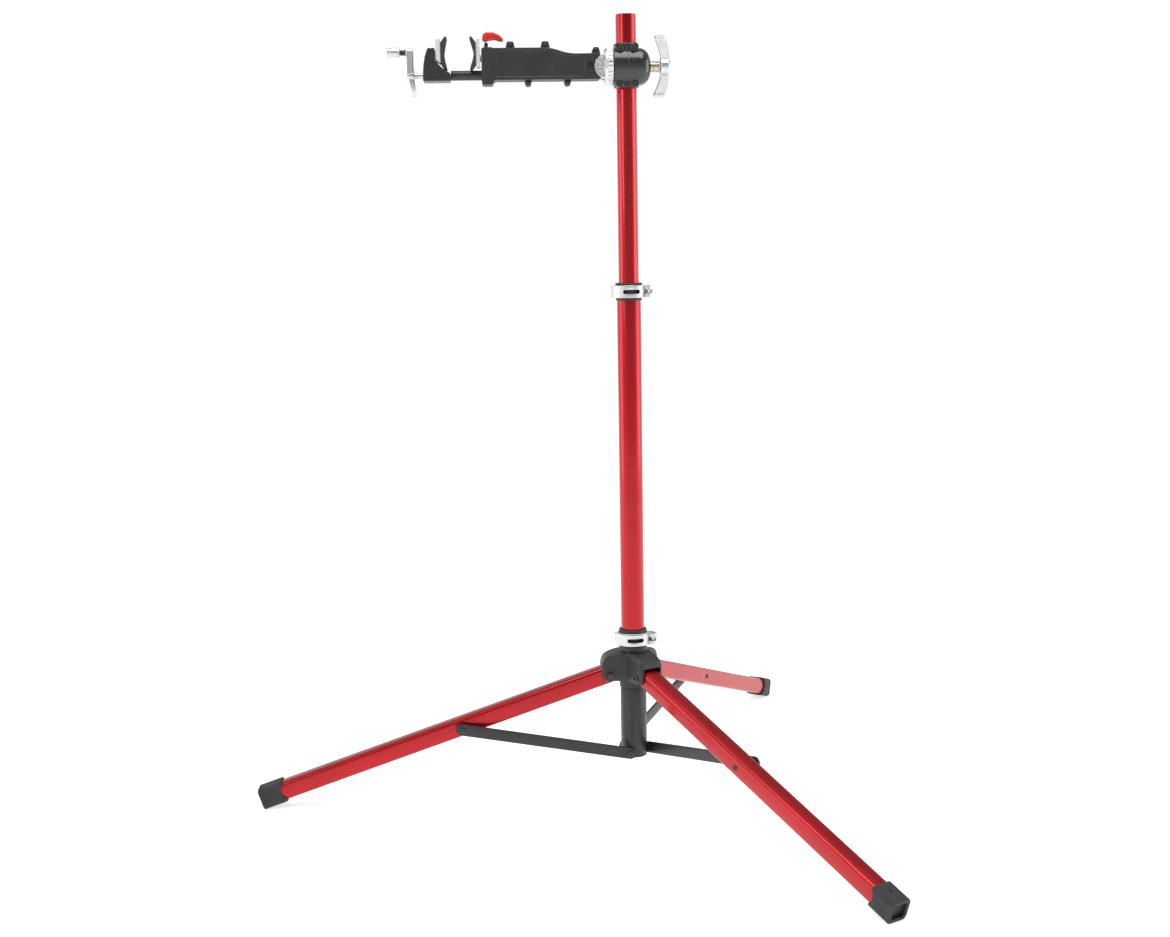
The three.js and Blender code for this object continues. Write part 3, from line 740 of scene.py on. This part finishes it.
class STAND_OT_legs(StandOperator, bpy.types.Operator):
    """Build the three box-section legs, their rubber feet and the bolts that hold the braces"""

    bl_idname = "stand.legs"
    bl_label = "Legs"

    half_w, half_h, corner, wall = 15, 14.5, 5.5, 1.8
    length, cap_start, cap_end, growth = 600, 566, 607, 3.1

    def tube(self, crown):
        """A leg, rounded over at its pivot end and open at its foot."""
        loops = []
        steps = 8
        for step in range(steps + 1):
            angle = math.radians(90 - 90 / steps * step)
            half = max(self.half_h * math.cos(angle), 0.5)
            corner = min(self.corner, half * 0.95)
            x = -self.half_h * math.sin(angle)
            loops.append(box_section(self.half_w, half, corner, x, crown * step / steps))
        for x in (4, self.length - 0.6):
            loops.append(box_section(self.half_w, self.half_h, self.corner, x, crown))
        for inset, x in ((0.5, self.length), (self.wall, self.length), (self.wall, self.length - 60)):
            loops.append(box_section(self.half_w - inset, self.half_h - inset, self.corner - inset, x, crown))
        leg = lofted("visual_leg_tube", loops)
        return cut(leg, drill(PIVOT_BORE), drill(BRACE_BORE, at=(BRACE_ON_LEG, 0, 0)))

    def foot(self):
        """The rubber cap over a leg's end, with how far each station stands out from the leg."""
        stations = [
            (self.cap_start, 0.6), (self.cap_start, self.growth - 0.7), (self.cap_start + 0.8, self.growth),
            (self.cap_end - 9, self.growth), (self.cap_end - 8, self.growth - 0.5),
            (self.cap_end - 7, self.growth), (self.cap_end - 1.2, self.growth),
            (self.cap_end, self.growth - 1.2),
            (self.cap_end, -2.2), (self.cap_end - 0.8, -3), (self.length + 1, -3), (self.length + 1, -8)]
        loops = [
            box_section(self.half_w + out, self.half_h + out, max(self.corner + out * 0.5, 1.5), x)
            for x, out in stations]
        cap = lofted("visual_foot_cap", loops)
        inside = lofted("inside", [
            box_section(self.half_w + AIR, self.half_h + AIR, self.corner, x)
            for x in (self.cap_start - 5, self.length + 0.3)])
        notch = drill(15, steps=64, at=(self.cap_start - 9.5, 0, 0))
        dimple = rod("dimple", 1.8, 15, 40, "Z", 24, (self.cap_start + 18, 0, 0))
        return cut(cap, inside, notch, dimple)

    def brace_bolt(self, node):
        """Through the leg and a spacer to the brace's outer face, with a domed head at each end."""
        side = self.half_w + AIR
        shank, spacer, spacer_end = 2.8, 6.4, 22.3
        bolt = turned("visual_" + node, [
            (0, -side - 1), (shank, -side - 1), (shank, side), (spacer, side), (spacer, spacer_end),
            (shank, spacer_end), (shank, BRACE_BOLT_SEAT), (0, BRACE_BOLT_SEAT)], "Y", 40,
            (BRACE_ON_LEG, 0, 0))
        near = socket_screw("near", 4.6, 1.9, 2, (BRACE_ON_LEG, -side, 0), flip=True)
        far = socket_screw("far", 5.6, 2.8, 2.4, (BRACE_ON_LEG, BRACE_BOLT_SEAT, 0))
        return eased(joined(bolt, near, far), 0.3, 40, 2)

    def execute(self, context):
        crown = context.scene.stand_sizes.crown / MM
        for number in (1, 2, 3):
            body, place = f"leg_{number}", along_leg(number)
            leg = self.tube(crown)
            leg.name = f"visual_leg_tube_{number}"
            fitted(leg, "anodised_leg", body, f"leg_tube_{number}", place)
            cap = self.foot()
            cap.name = f"visual_foot_cap_{number}"
            cap.data.transform(place)
            cut(cap, box("floor", (-2, 2), (-2, 2), (-0.05, 0)))
            fitted(cap, "rubber", body, f"foot_cap_{number}", Matrix.Identity(4))
            node = f"brace_leg_bolt_{number}"
            fitted(self.brace_bolt(node), "fastener", body, node, place)
        return {"FINISHED"}


class STAND_OT_braces(StandOperator, bpy.types.Operator):
    """Build the three flat braces and the bolts at their lower ends"""

    bl_idname = "stand.braces"
    bl_label = "Braces"

    def execute(self, context):
        foot = (BRACE_FOOT_R, BRACE_FOOT_Z)
        head = (PIVOT_R + BRACE_ON_LEG * math.cos(LEG_FALL), PIVOT_Z - BRACE_ON_LEG * math.sin(LEG_FALL))
        near, far, half_width = 22.6, 26.6, 9.5
        for number in (1, 2, 3):
            body = f"brace_arm_{number}"
            outline = belt((*foot, half_width), (*head, half_width))
            bar = plate(f"visual_brace_{number}", outline, far - near, at=(0, (near + far) / 2, 0))
            eased(bar, 0.9, 50, 3)
            holes = [rod("hole", BRACE_BORE, 15, 35, "Y", at=(r, 0, z)) for r, z in (foot, head)]
            fitted(cut(bar, *holes), "satin", body, f"brace_{number}", beside_leg(number))
            node = f"brace_post_bolt_{number}"
            seat = (BRACE_FOOT_R, BRACE_BOLT_SEAT, BRACE_FOOT_Z)
            bolt = socket_screw("visual_" + node, 5.6, 2.9, 2.6, seat, shank=(2.8, 4.6))
            fitted(eased(bolt, 0.25, 40, 2), "fastener", body, node, beside_leg(number))
        return {"FINISHED"}


# ---- head


class STAND_OT_head(StandOperator, bpy.types.Operator):
    """Build the head casting that grips the upper tube, with its clamp screws"""

    bl_idname = "stand.head"
    bl_label = "Head"

    screws = ("head_screw_1", "head_screw_2")

    def seat(self, node):
        """Where a clamp screw's head rests."""
        low, high = on_mast(node)
        middle = (low + high) / 2
        return middle.x, high.y, middle.z

    def execute(self, context):
        low, high = on_mast("head_casting")
        left, right, radius = -20, high.x, 29
        barrel = turned("visual_head", [
            (0, left), (radius - 0.8, left), (radius, left + 0.8), (radius, 18), (radius - 0.9, 24),
            (radius - 3.2, 29), (radius - 7, 33), (radius - 11.5, 35.6), (14, right), (0, right)],
            "X", 96, HEAD_LINE)
        clamp = turned("clamp", [
            (0, low.z), (19, low.z), (19.7, low.z + 0.8), (19.7, high.z - 0.8), (19, high.z),
            (0, high.z)], steps=96)
        ears = [eased(rod("ear", 6.4, -20.3, 20.3, "Y", 48, (x, 0, z)), 1.4)
                for x in (-12, 12) for z in (low.z + 5.8, high.z - 5.8)]
        ridge = rod("ridge", radius, 0, 2, "X", 96, (left, 0, HEAD_Z))
        bore = rod("bore", 16.175, low.z - 5, high.z + 5, steps=96)
        shaft = rod("shaft", 7.5, -30, 33, "X", at=HEAD_LINE)
        clear = rod("clear", 31, -60, -20.9, "X", 96, HEAD_LINE)
        groove = turned("groove", [
            (radius - 0.9, 1.2), (radius + 3, 1.2), (radius + 3, 2.4),
            (radius - 0.9, 2.4)], "X", 96, HEAD_LINE)
        seats = []
        for node in self.screws:
            x, y, z = self.seat(node)
            seats.append(rod("seat", 4.1, -40, y + AIR, "Y", at=(x, 0, z)))
        head = cut(joined(barrel, clamp, ridge, *ears), groove, clear, bore, shaft, *seats)
        fitted(cast(head, 0.5, 3, 0.3), "enamel", "upper", "head_casting")

        for node in self.screws:
            screw = socket_screw("visual_" + node, 3.7, 2.6, 1.8, self.seat(node), flip=True)
            fitted(eased(screw, 0.2, 40, 2), "fastener", "upper", node)
        return {"FINISHED"}


class STAND_OT_knob(StandOperator, bpy.types.Operator):
    """Build the two-winged knob and its plated spacer"""

    bl_idname = "stand.knob"
    bl_label = "Knob"

    tilt = 14

    def execute(self, context):
        face = on_mast("knob")[1].x + 1.6
        hub = turned("visual_knob", [
            (0, face - 16), (12.6, face - 16), (14, face - 14.6), (14, face - 3), (12.4, face - 1),
            (8, face), (0, face)], "X", 72)
        bored = rod("bored", 5, face - 2.2, face + 2, "X", 40)
        wing_side = rounded([
            (face - 15, -2), (face - 15, 14), (face - 18, 25), (face - 25, 43), (face - 25, 46.4),
            (face - 7.4, 46.4), (face - 1.4, 25), (face - 0.4, 14), (face - 0.4, -2)], 3.4)
        parts = []
        for way in (0, 180):
            wing = eased(plate("wing", wing_side, 12.4), 2.4, 50, 3)
            tip_side = rounded([
                (face - 25.4, 40.6), (face - 25.4, 46.6), (face - 8, 46.6), (face - 9, 40.6)], 2.4)
            tip = eased(plate("tip", tip_side, 15), 1.8, 50, 3)
            for part in (wing, tip):
                part.data.transform(Matrix.Rotation(math.radians(way), 4, "X"))
            parts += [wing, tip]
        knob = cast(cut(joined(hub, *parts), bored), 0.5, 5, 0.35)
        turn = Matrix.Translation(HEAD_LINE) @ Matrix.Rotation(math.radians(self.tilt), 4, "X")
        fitted(knob, "silver", "knob_set", "knob", ON_MAST @ turn)

        low, high = on_mast("knob_spacer")
        spacer = turned("visual_knob_spacer", [
            (0, low.x), (8.5, low.x), (8.5, low.x + 4), (7.9, low.x + 4.3), (7.9, low.x + 5),
            (8.5, low.x + 5.3), (8.5, high.x), (0, high.x)], "X", 64, HEAD_LINE)
        fitted(eased(spacer, 0.5), "plated", "knob_set", "knob_spacer")
        return {"FINISHED"}


class STAND_OT_index_ring(StandOperator, bpy.types.Operator):
    """Build the toothed ring with its two half-round knuckles"""

    bl_idname = "stand.index_ring"
    bl_label = "Index ring"

    def execute(self, context):
        radius, face, back = 29.3, -34.2, on_mast("index_ring")[1].x
        ring = turned("visual_index_ring", [
            (0, face), (radius - 2.4, face), (radius - 1.2, face + 1.2), (radius - 1.2, face + 3.2),
            (radius, face + 4), (radius, back - 1), (radius - 1, back), (0, back)], "X", 120, HEAD_LINE)
        cut(ring, box("pocket", (-37, -20), (-11.4, 11.4), (HEAD_Z - 10.5, HEAD_Z + 10.5)))
        teeth = 30
        for i in range(teeth):
            turn = 2 * math.pi * (i + 0.5) / teeth
            at = (face + 4.6, (radius + 0.5) * math.cos(turn), HEAD_Z + (radius + 0.5) * math.sin(turn))
            cut(ring, rod("tooth", 1.3, -6, 12, "X", 12, at))
        fold = (FOLD_X, 0, HEAD_Z)
        for side in (-1, 1):
            inner, outer = sorted((side * 11.1, side * 20))
            cheek = eased(rod("cheek", 19.6, inner, outer, "Y", 96, fold), 1)
            kept_within(cheek, box("keep", (-60, -31.5), (-31, 31), (HEAD_Z - 31, HEAD_Z + 31)))
            cut(cheek, rod("dish", 16, *sorted((side * 18, side * 30)), "Y", 64, fold))
            ribs = [rod("hub", 6.2, *sorted((side * 17, side * 19.6)), "Y", 48, fold)]
            for angle in (118, 149, 180, 211, 242):
                turn = math.radians(angle)
                tip = (FOLD_X + 17 * math.cos(turn), HEAD_Z + 17 * math.sin(turn))
                root = (FOLD_X + 4 * math.cos(turn), HEAD_Z + 4 * math.sin(turn))
                ribs.append(plate("rib", belt((*root, 1.5), (*tip, 1.2), 6), 2.2, at=(0, side * 18.3, 0)))
            merged(ring, cheek, *ribs)
        fitted(cast(ring, 0.42, 2, 0.4), "silver", "ring", "index_ring")
        return {"FINISHED"}


# ---- clamp arm


class STAND_OT_arm(StandOperator, bpy.types.Operator):
    """Build the arm's two moulded shells and the screws that hold them together"""

    bl_idname = "stand.arm"
    bl_label = "Arm"

    half = 20
    bosses = (
        (-180, 1212.2, 6), (-126, 1212.2, 6), (-47.5, 1203.6, 5.2), (-153, 1155.4, 4.6), (-92, 1155.4, 4.6))

    def whole_arm(self):
        end = on_mast("arm_shell_front")[0].x
        flange = end + 17.2
        side = rounded([
            (end, 1152.5), (flange, 1152.5), (flange + 2, 1159.5), (-40.5, 1159.5), (-40.5, 1199.5),
            (-58, 1198.8), (-82, 1198.6), (-95, 1200.4), (-107, 1204.2), (-119, 1207.4), (-130, 1208),
            (flange, 1208), (flange - 1, 1209.2), (end, 1209.2)], 5)
        arm = eased(plate("visual_arm", side, 2 * self.half), 2.6, 60, 3)
        bosses = []
        for x, z, radius in self.bosses:
            way = 1 if z > HEAD_Z else -1
            crest, foot = z + way * radius, z - way * 8
            flank = rounded([
                (x - radius - 2, foot), (x - radius + 0.8, crest), (x + radius - 0.8, crest),
                (x + radius + 2, foot)], 3)
            bosses.append(eased(plate("boss", flank, 26), 1.2, 50, 2))
        joined(arm, *bosses)
        panel = rounded([
            (flange + 5, 1164), (-66, 1164), (-66, 1195), (-94, 1195.5), (-120, 1203.5),
            (flange + 5, 1203.5)], 4)
        cuts = [plate("panel", panel, 6, at=(0, way * (self.half + 2.3), 0)) for way in (-1, 1)]
        cuts += [
            rod("hollow", 20.3, -30, 30, "Y", 96, (FOLD_X, 0, HEAD_Z)),
            rod("tunnel", 7.8, end - 5, -80, "X", at=ROD_LINE),
            plate("catch", rounded([(-60.5, 1174.5), (-53, 1174.5), (-53, 1186), (-60.5, 1186)], 1.5), 6,
                  at=(0, -self.half, 0)),
        ]
        cut(arm, *cuts)
        tongues = [
            plate("tongue", belt((FOLD_X - 26, HEAD_Z, 9), (FOLD_X, HEAD_Z, 9)), 5.8, at=(0, way * 7.9, 0))
            for way in (-1, 1)
        ]
        joined(arm, *tongues)
        return cut(arm, rod("pin", 3.8, -15, 15, "Y", at=(FOLD_X, 0, HEAD_Z)))

    def execute(self, context):
        gap = AIR / 2
        for name, span in (("front", (-40, -gap)), ("back", (gap, 40))):
            node = "arm_shell_" + name
            shell = kept_within(self.whole_arm(), box("half", (-300, 0), span, (1100, 1300)))
            shell.name = "visual_" + node
            fitted(cast(shell, 0.55, 3, 0.3), "nylon", "arm", node)
        for number, (x, z, _) in enumerate(self.bosses, 1):
            node = f"arm_screw_{number}"
            screw = socket_screw("visual_" + node, 3.2, 2, 1.5, (x, -13.2, z), flip=True)
            fitted(eased(screw, 0.2, 40, 2), "fastener", "arm", node)
        return {"FINISHED"}


class STAND_OT_jaws(StandOperator, bpy.types.Operator):
    """Build the fixed and sliding jaws: plates, ribbed rubber pads, block and rod"""

    bl_idname = "stand.jaws"
    bl_label = "Jaws"

    def pad(self, node, facing):
        """A V-shaped rubber pad; facing is +1 where its valley opens towards +X."""
        low, high = on_mast(node)
        tip = high.x if facing > 0 else low.x
        back = low.x if facing > 0 else high.x
        foot, top, valley = low.z + 0.4, high.z - 0.4, 1200
        depth = 4.8 if facing > 0 else 6.7
        grip = [(tip, top), (tip - facing * depth * 0.68, valley + 9.5), (tip - facing * depth, valley),
                (tip - facing * depth * 0.68, valley - 9.5), (tip, foot)]
        rear = [(tip - facing * 3.4, foot - 0.2), (back, foot + 8.4), (back, top - 8.4),
                (tip - facing * 3.4, top + 0.2)]
        pad = plate("visual_" + node, rounded(grip + rear, 1.3, 3), 38)
        grooves = []
        for step in range(-5, 6):
            if step == 0:
                continue
            z = valley + step * 4.1
            bow = min(abs(z - valley) / (top - valley), 1)
            x = tip - facing * depth * (1 - bow ** 1.5)
            grooves.append(rod("groove", 0.75, -30, 30, "Y", 12, (x + facing * 0.25, 0, z)))
        return eased(cut(pad, *grooves), 0.35, 50, 2)

    def execute(self, context):
        low, high = on_mast("inner_jaw_plate")
        plate_x, face_x = low.x, high.x
        inner = plate("visual_inner_jaw_plate", rounded([
            (plate_x, low.z), (plate_x + 6, low.z), (plate_x + 6, high.z), (plate_x, high.z)], 0.8), 34)
        stub = rod("stub", 5, plate_x + 2, face_x, "X", at=(0, 0, 1194))
        fitted(eased(joined(inner, stub), 0.4), "pressed", "arm", "inner_jaw_plate")

        low, high = on_mast("outer_jaw_plate")
        outer = plate("visual_outer_jaw_plate", rounded([
            (high.x, low.z), (high.x, high.z - 2), (high.x - 2.3, high.z), (low.x, high.z - 2),
            (low.x, low.z + 6.5)], 1.2), 34)
        fitted(eased(outer, 0.6), "pressed", "jaw", "outer_jaw_plate")
        fitted(self.pad("inner_jaw_pad", -1), "rubber", "arm", "inner_jaw_pad")
        fitted(self.pad("outer_jaw_pad", 1), "rubber", "jaw", "outer_jaw_pad")

        low, high = on_mast("jaw_block")
        left, right = low.x, high.x
        side = rounded([
            (left, 1159), (right, 1159), (right, 1171), (-279, 1174.2), (-288, 1181.6), (-295.4, 1190.4),
            (-296, 1209), (-307, 1209), (-311.6, 1196), (-314, 1182), (left, 1170)], 2.2, 4)
        block = eased(plate("visual_jaw_block", side, 40), 2, 60, 3)
        line = [(left - 2, 1167.4), (right + 2, 1167.4), (right + 2, 1168.2), (left - 2, 1168.2)]
        band = [plate("band", line, 4, at=(0, way * 21.5, 0)) for way in (-1, 1)]
        crest = rod("crest", 2, -30, 30, "Y", 24, (-301.5, 0, 1210.2))
        fitted(cast(cut(block, *band, crest), 0.5, 3, 0.35), "satin", "jaw", "jaw_block")

        low, high = on_mast("jaw_rod")
        bar = turned("visual_jaw_rod", [
            (0, low.x), (7.5, low.x), (7.5, high.x - 1), (6.5, high.x), (0, high.x)], "X", 72, ROD_LINE)
        fitted(eased(bar, 0.4), "satin", "jaw", "jaw_rod")
        return {"FINISHED"}


class STAND_OT_crank(StandOperator, bpy.types.Operator):
    """Build the crank: spindle, two-ended arm, pin and spinning grip"""

    bl_idname = "stand.crank"
    bl_label = "Crank"

    def execute(self, context):
        reach = GRIP_Z - ROD_Z
        hub = turned("visual_crank_arm", [
            (0, -342), (5.4, -342), (8.4, -339.4), (8.4, -330), (7, -328.4), (0, -328.4)], "X", 64)
        upper = plate("upper", belt((0, 0, 7.6), (0, reach, 6.4)), 12, "YZ", (-335.4, 0, 0))
        eased(upper, 2.6, 50, 3)
        leaf_outline = rounded([
            (-6.4, 0), (6.4, 0), (7.6, -12), (6.4, -24), (2.8, -32.4), (-2.8, -32.4), (-6.4, -24),
            (-7.6, -12)], 5)
        leaf = eased(plate("leaf", leaf_outline, 9.6, "YZ"), 2.8, 50, 3)
        leaf.data.transform(Matrix.Translation((-335, 0, 0)) @ Matrix.Rotation(math.radians(-11), 4, "Y"))
        channel = plate("channel", belt((0, 9, 3), (0, reach - 8, 2.6)), 3, "YZ", (-341.6, 0, 0))
        arm = cast(cut(joined(hub, upper, leaf), channel), 0.42, 4, 0.4)
        fitted(arm, "silver", "crank", "crank_arm", ON_MAST @ Matrix.Translation(ROD_LINE))

        low, high = on_mast("crank_spindle")
        spindle = turned("visual_crank_spindle", [
            (0, low.x), (4.5, low.x), (4.5, low.x + 4), (4, low.x + 4.4), (4, low.x + 5.4),
            (4.5, low.x + 5.8), (4.5, high.x), (0, high.x)], "X", 48, ROD_LINE)
        fitted(spindle, "steel", "crank", "crank_spindle")

        low, high = on_mast("grip_pin")
        collar = low.x + 17.1
        pin = turned("visual_grip_pin", [
            (0, low.x), (2.8, low.x), (2.8, collar), (4.2, collar), (4.2, collar + 3), (3.4, collar + 3.6),
            (4.2, collar + 4.2), (4.2, high.x), (0, high.x)], "X", 48, (0, 0, GRIP_Z))
        fitted(eased(pin, 0.25), "satin", "crank", "grip_pin")

        low, high = on_mast("crank_grip")
        start, end = low.x, high.x
        grip = turned("visual_crank_grip", [
            (0, start), (6.2, start), (7.6, start + 1.2), (7.9, start + 2.6), (7.9, start + 5),
            (7.2, start + 5.6), (7.2, start + 7), (7.9, start + 7.6), (7.9, end - 2.4), (7.2, end - 0.8),
            (6.4, end), (3.1, end), (3.1, start + 4.1), (0, start + 4.1)], "X", 72, (0, 0, GRIP_Z))
        fitted(eased(grip, 0.3), "silver", "grip", "crank_grip")
        return {"FINISHED"}


class STAND_OT_release(StandOperator, bpy.types.Operator):
    """Build the red release lever and its stem"""

    bl_idname = "stand.release"
    bl_label = "Release lever"

    def execute(self, context):
        low, high = on_mast("red_lever")
        base, top = low.z, high.z
        side = rounded([
            (-223, base + 2.6), (-222.4, base + 10.6), (-218, top), (-206, top - 0.2), (-196.5, base + 10.6),
            (-190.4, base + 4.4), (-191, base + 1.2), (-195, base + 0.4), (-203, base + 3.2),
            (-212, base + 2.4), (-219, base)], 2.4, 4)
        lever = eased(plate("visual_red_lever", side, 12), 2.4, 60, 3)
        hollow = plate("hollow", belt((-213, base + 6.5, 2.6), (-203, base + 7.4, 2.2)), 3, at=(0, -6.4, 0))
        fitted(cast(cut(lever, hollow), 0.35, 5, 0.45), "lever_red", "release", "red_lever")

        low, high = on_mast("lever_stem")
        middle = (low + high) / 2
        stem = turned("visual_lever_stem", [
            (0, low.z), (3, low.z), (3, high.z - 2), (2.4, high.z - 1.4), (2.4, high.z), (0, high.z)],
            "Z", 40, (middle.x, 0, 0))
        fitted(eased(stem, 0.25), "nylon", "release", "lever_stem")
        return {"FINISHED"}


class STAND_OT_hidden_pieces(StandOperator, bpy.types.Operator):
    """Give the inner pieces that stay as they are in the frame their finish"""

    bl_idname = "stand.hidden_pieces"
    bl_label = "Inner pieces"

    def execute(self, context):
        for node, finish in (("guide_bush", "nylon"), ("draw_shaft", "steel"), ("fold_pin", "steel")):
            slots = frame["nodes"][node].data.materials
            slots.clear()
            slots.append(finish_of(finish))
        return {"FINISHED"}


# ---- studio


class STAND_OT_studio(StandOperator, bpy.types.Operator):
    """Set up the camera, the pale floor and the soft lights"""

    bl_idname = "stand.studio"
    bl_label = "Studio"

    lens = 48.09
    distance, height = 2.5002, 0.9216
    bearing, yaw, pitch, roll = (math.radians(a) for a in (-5.10, -1.70, 8.497, -0.924))

    def camera(self):
        heading = -self.yaw + self.bearing
        forward = Vector((
            -math.sin(heading) * math.cos(self.pitch),
            math.cos(heading) * math.cos(self.pitch),
            -math.sin(self.pitch)))
        right = forward.cross(Vector((0, 0, 1))).normalized()
        up = right.cross(forward)
        tilted_right = math.cos(self.roll) * right + math.sin(self.roll) * up
        tilted_up = -math.sin(self.roll) * right + math.cos(self.roll) * up
        turn = Matrix((tilted_right, tilted_up, -forward)).transposed().to_4x4()
        place = Vector((
            MAST_X * MM + self.distance * math.sin(self.bearing),
            -self.distance * math.cos(self.bearing),
            self.height))
        data = bpy.data.cameras.new("camera")
        data.lens = self.lens
        data.sensor_width = 36
        camera = bpy.data.objects.new("camera", data)
        camera.matrix_world = Matrix.Translation(place) @ turn
        bpy.context.scene.collection.objects.link(camera)
        bpy.context.scene.camera = camera

    def light(self, name, place, aim, size, power):
        data = bpy.data.lights.new(name, "AREA")
        data.shape = "RECTANGLE"
        data.size, data.size_y = size
        data.energy = power
        lamp = bpy.data.objects.new(name, data)
        turn = (Vector(aim) - Vector(place)).to_track_quat("-Z", "Y").to_matrix().to_4x4()
        lamp.matrix_world = Matrix.Translation(place) @ turn
        bpy.context.scene.collection.objects.link(lamp)

    def floor(self):
        half = bpy.context.scene.stand_sizes.floor_half
        mesh = bpy.data.meshes.new("studio_floor")
        corners = [(-half, -half, 0), (half, -half, 0), (half, half, 0), (-half, half, 0)]
        mesh.from_pydata(corners, [], [(0, 1, 2, 3)])
        floor = bpy.data.objects.new("studio_floor", mesh)
        bpy.context.scene.collection.objects.link(floor)
        paper = bpy.data.materials.new("studio_paper")
        paper.use_nodes = True
        shader = paper.node_tree.nodes["Principled BSDF"]
        shader.inputs["Base Color"].default_value = (0.80, 0.80, 0.80, 1)
        shader.inputs["Roughness"].default_value = 0.95
        shader.inputs["Specular IOR Level"].default_value = 0.1
        shader.inputs["Emission Color"].default_value = (1, 1, 1, 1)
        self.evened(paper)
        mesh.materials.append(paper)

    def evened(self, paper):
        """Lets the paper glow more, far from the stand, where the lamps no longer reach it."""
        nodes, links = paper.node_tree.nodes, paper.node_tree.links
        place = nodes.new("ShaderNodeTexCoord")
        distance = nodes.new("ShaderNodeVectorMath")
        distance.operation = "LENGTH"
        glow = nodes.new("ShaderNodeMapRange")
        glow.inputs["From Min"].default_value = 1.2
        glow.inputs["From Max"].default_value = 4.5
        glow.inputs["To Min"].default_value = 0.66
        glow.inputs["To Max"].default_value = 0.95
        links.new(place.outputs["Object"], distance.inputs[0])
        links.new(distance.outputs["Value"], glow.inputs["Value"])
        links.new(glow.outputs["Result"], nodes["Principled BSDF"].inputs["Emission Strength"])

    def ramp(self, tree, source, stops):
        """Grey levels along one component of the direction, from -1 to 1."""
        spread = tree.nodes.new("ShaderNodeMapRange")
        spread.inputs["From Min"].default_value = -1
        ramp = tree.nodes.new("ShaderNodeValToRGB")
        elements = ramp.color_ramp.elements
        while len(elements) < len(stops):
            elements.new(0.5)
        for element, (place, level) in zip(elements, stops):
            element.position = (place + 1) / 2
            element.color = (level, level, level, 1)
        tree.links.new(source, spread.inputs["Value"])
        tree.links.new(spread.outputs["Result"], ramp.inputs["Fac"])
        return ramp.outputs["Color"]

    def surroundings(self):
        """A white backdrop ahead, a dim room behind and a darker band below the ceiling."""
        world = bpy.data.worlds.new("studio")
        world.use_nodes = True
        tree = world.node_tree
        place = tree.nodes.new("ShaderNodeTexCoord")
        parts = tree.nodes.new("ShaderNodeSeparateXYZ")
        tree.links.new(place.outputs["Generated"], parts.inputs["Vector"])
        ahead = self.ramp(tree, parts.outputs["Y"], ((-1, 0.50), (-0.45, 0.50), (0.02, 0.78), (0.25, 1.0)))
        above = self.ramp(tree, parts.outputs["Z"], ((0.26, 1.0), (0.42, 0.22), (0.74, 0.2), (0.90, 0.8)))
        blend = tree.nodes.new("ShaderNodeMix")
        blend.data_type = "RGBA"
        blend.blend_type = "MULTIPLY"
        blend.inputs["Factor"].default_value = 1
        tree.links.new(ahead, blend.inputs["A"])
        tree.links.new(above, blend.inputs["B"])
        background = tree.nodes["Background"]
        background.inputs["Strength"].default_value = 1.06
        tree.links.new(blend.outputs["Result"], background.inputs["Color"])
        bpy.context.scene.world = world

    def execute(self, context):
        self.camera()
        self.floor()
        self.surroundings()
        self.light("overhead", (0.1, -0.5, 3.1), (0.1, 0, 0.6), (2.6, 1.6), 62)
        self.light("key", (-2.6, -1.9, 2.2), (0, 0, 0.7), (1.0, 1.8), 22)
        self.light("left_panel", (-3.1, 0.1, 1.2), (0, 0, 0.7), (1.7, 2.2), 26)
        self.light("right_panel", (3.0, -0.3, 1.3), (0, 0, 0.7), (2.0, 2.2), 38)
        context.scene.view_settings.view_transform = "Standard"
        return {"FINISHED"}


# ---- panel and registration

BUILD_ORDER = (
    STAND_OT_studio, STAND_OT_mast, STAND_OT_collars, STAND_OT_hub, STAND_OT_legs, STAND_OT_braces,
    STAND_OT_head, STAND_OT_knob, STAND_OT_index_ring, STAND_OT_arm, STAND_OT_jaws, STAND_OT_crank,
    STAND_OT_release, STAND_OT_hidden_pieces,
)


class STAND_PT_panel(bpy.types.Panel):
    """Sizes, colours and the pieces of the stand"""

    bl_idname = "STAND_PT_panel"
    bl_label = "Repair Stand"
    bl_space_type = "VIEW_3D"
    bl_region_type = "UI"
    bl_category = "Repair Stand"

    def draw(self, context):
        layout = self.layout
        for group in (context.scene.stand_sizes, context.scene.stand_colours):
            for name in group.bl_rna.properties.keys():
                if name not in ("rna_type", "name"):
                    layout.prop(group, name)
        for operator in BUILD_ORDER:
            layout.operator(operator.bl_idname)


CLASSES = (StandSizes, StandColours, *BUILD_ORDER, STAND_PT_panel)


def register():
    for item in CLASSES:
        bpy.utils.register_class(item)
    bpy.types.Scene.stand_sizes = PointerProperty(type=StandSizes)
    bpy.types.Scene.stand_colours = PointerProperty(type=StandColours)


def unregister():
    del bpy.types.Scene.stand_colours
    del bpy.types.Scene.stand_sizes
    for item in reversed(CLASSES):
        bpy.utils.unregister_class(item)


def main():
    register()
    for operator in BUILD_ORDER:
        group, name = operator.bl_idname.split(".")
        getattr(getattr(bpy.ops, group), name)()


if __name__ == "__main__":
    main()
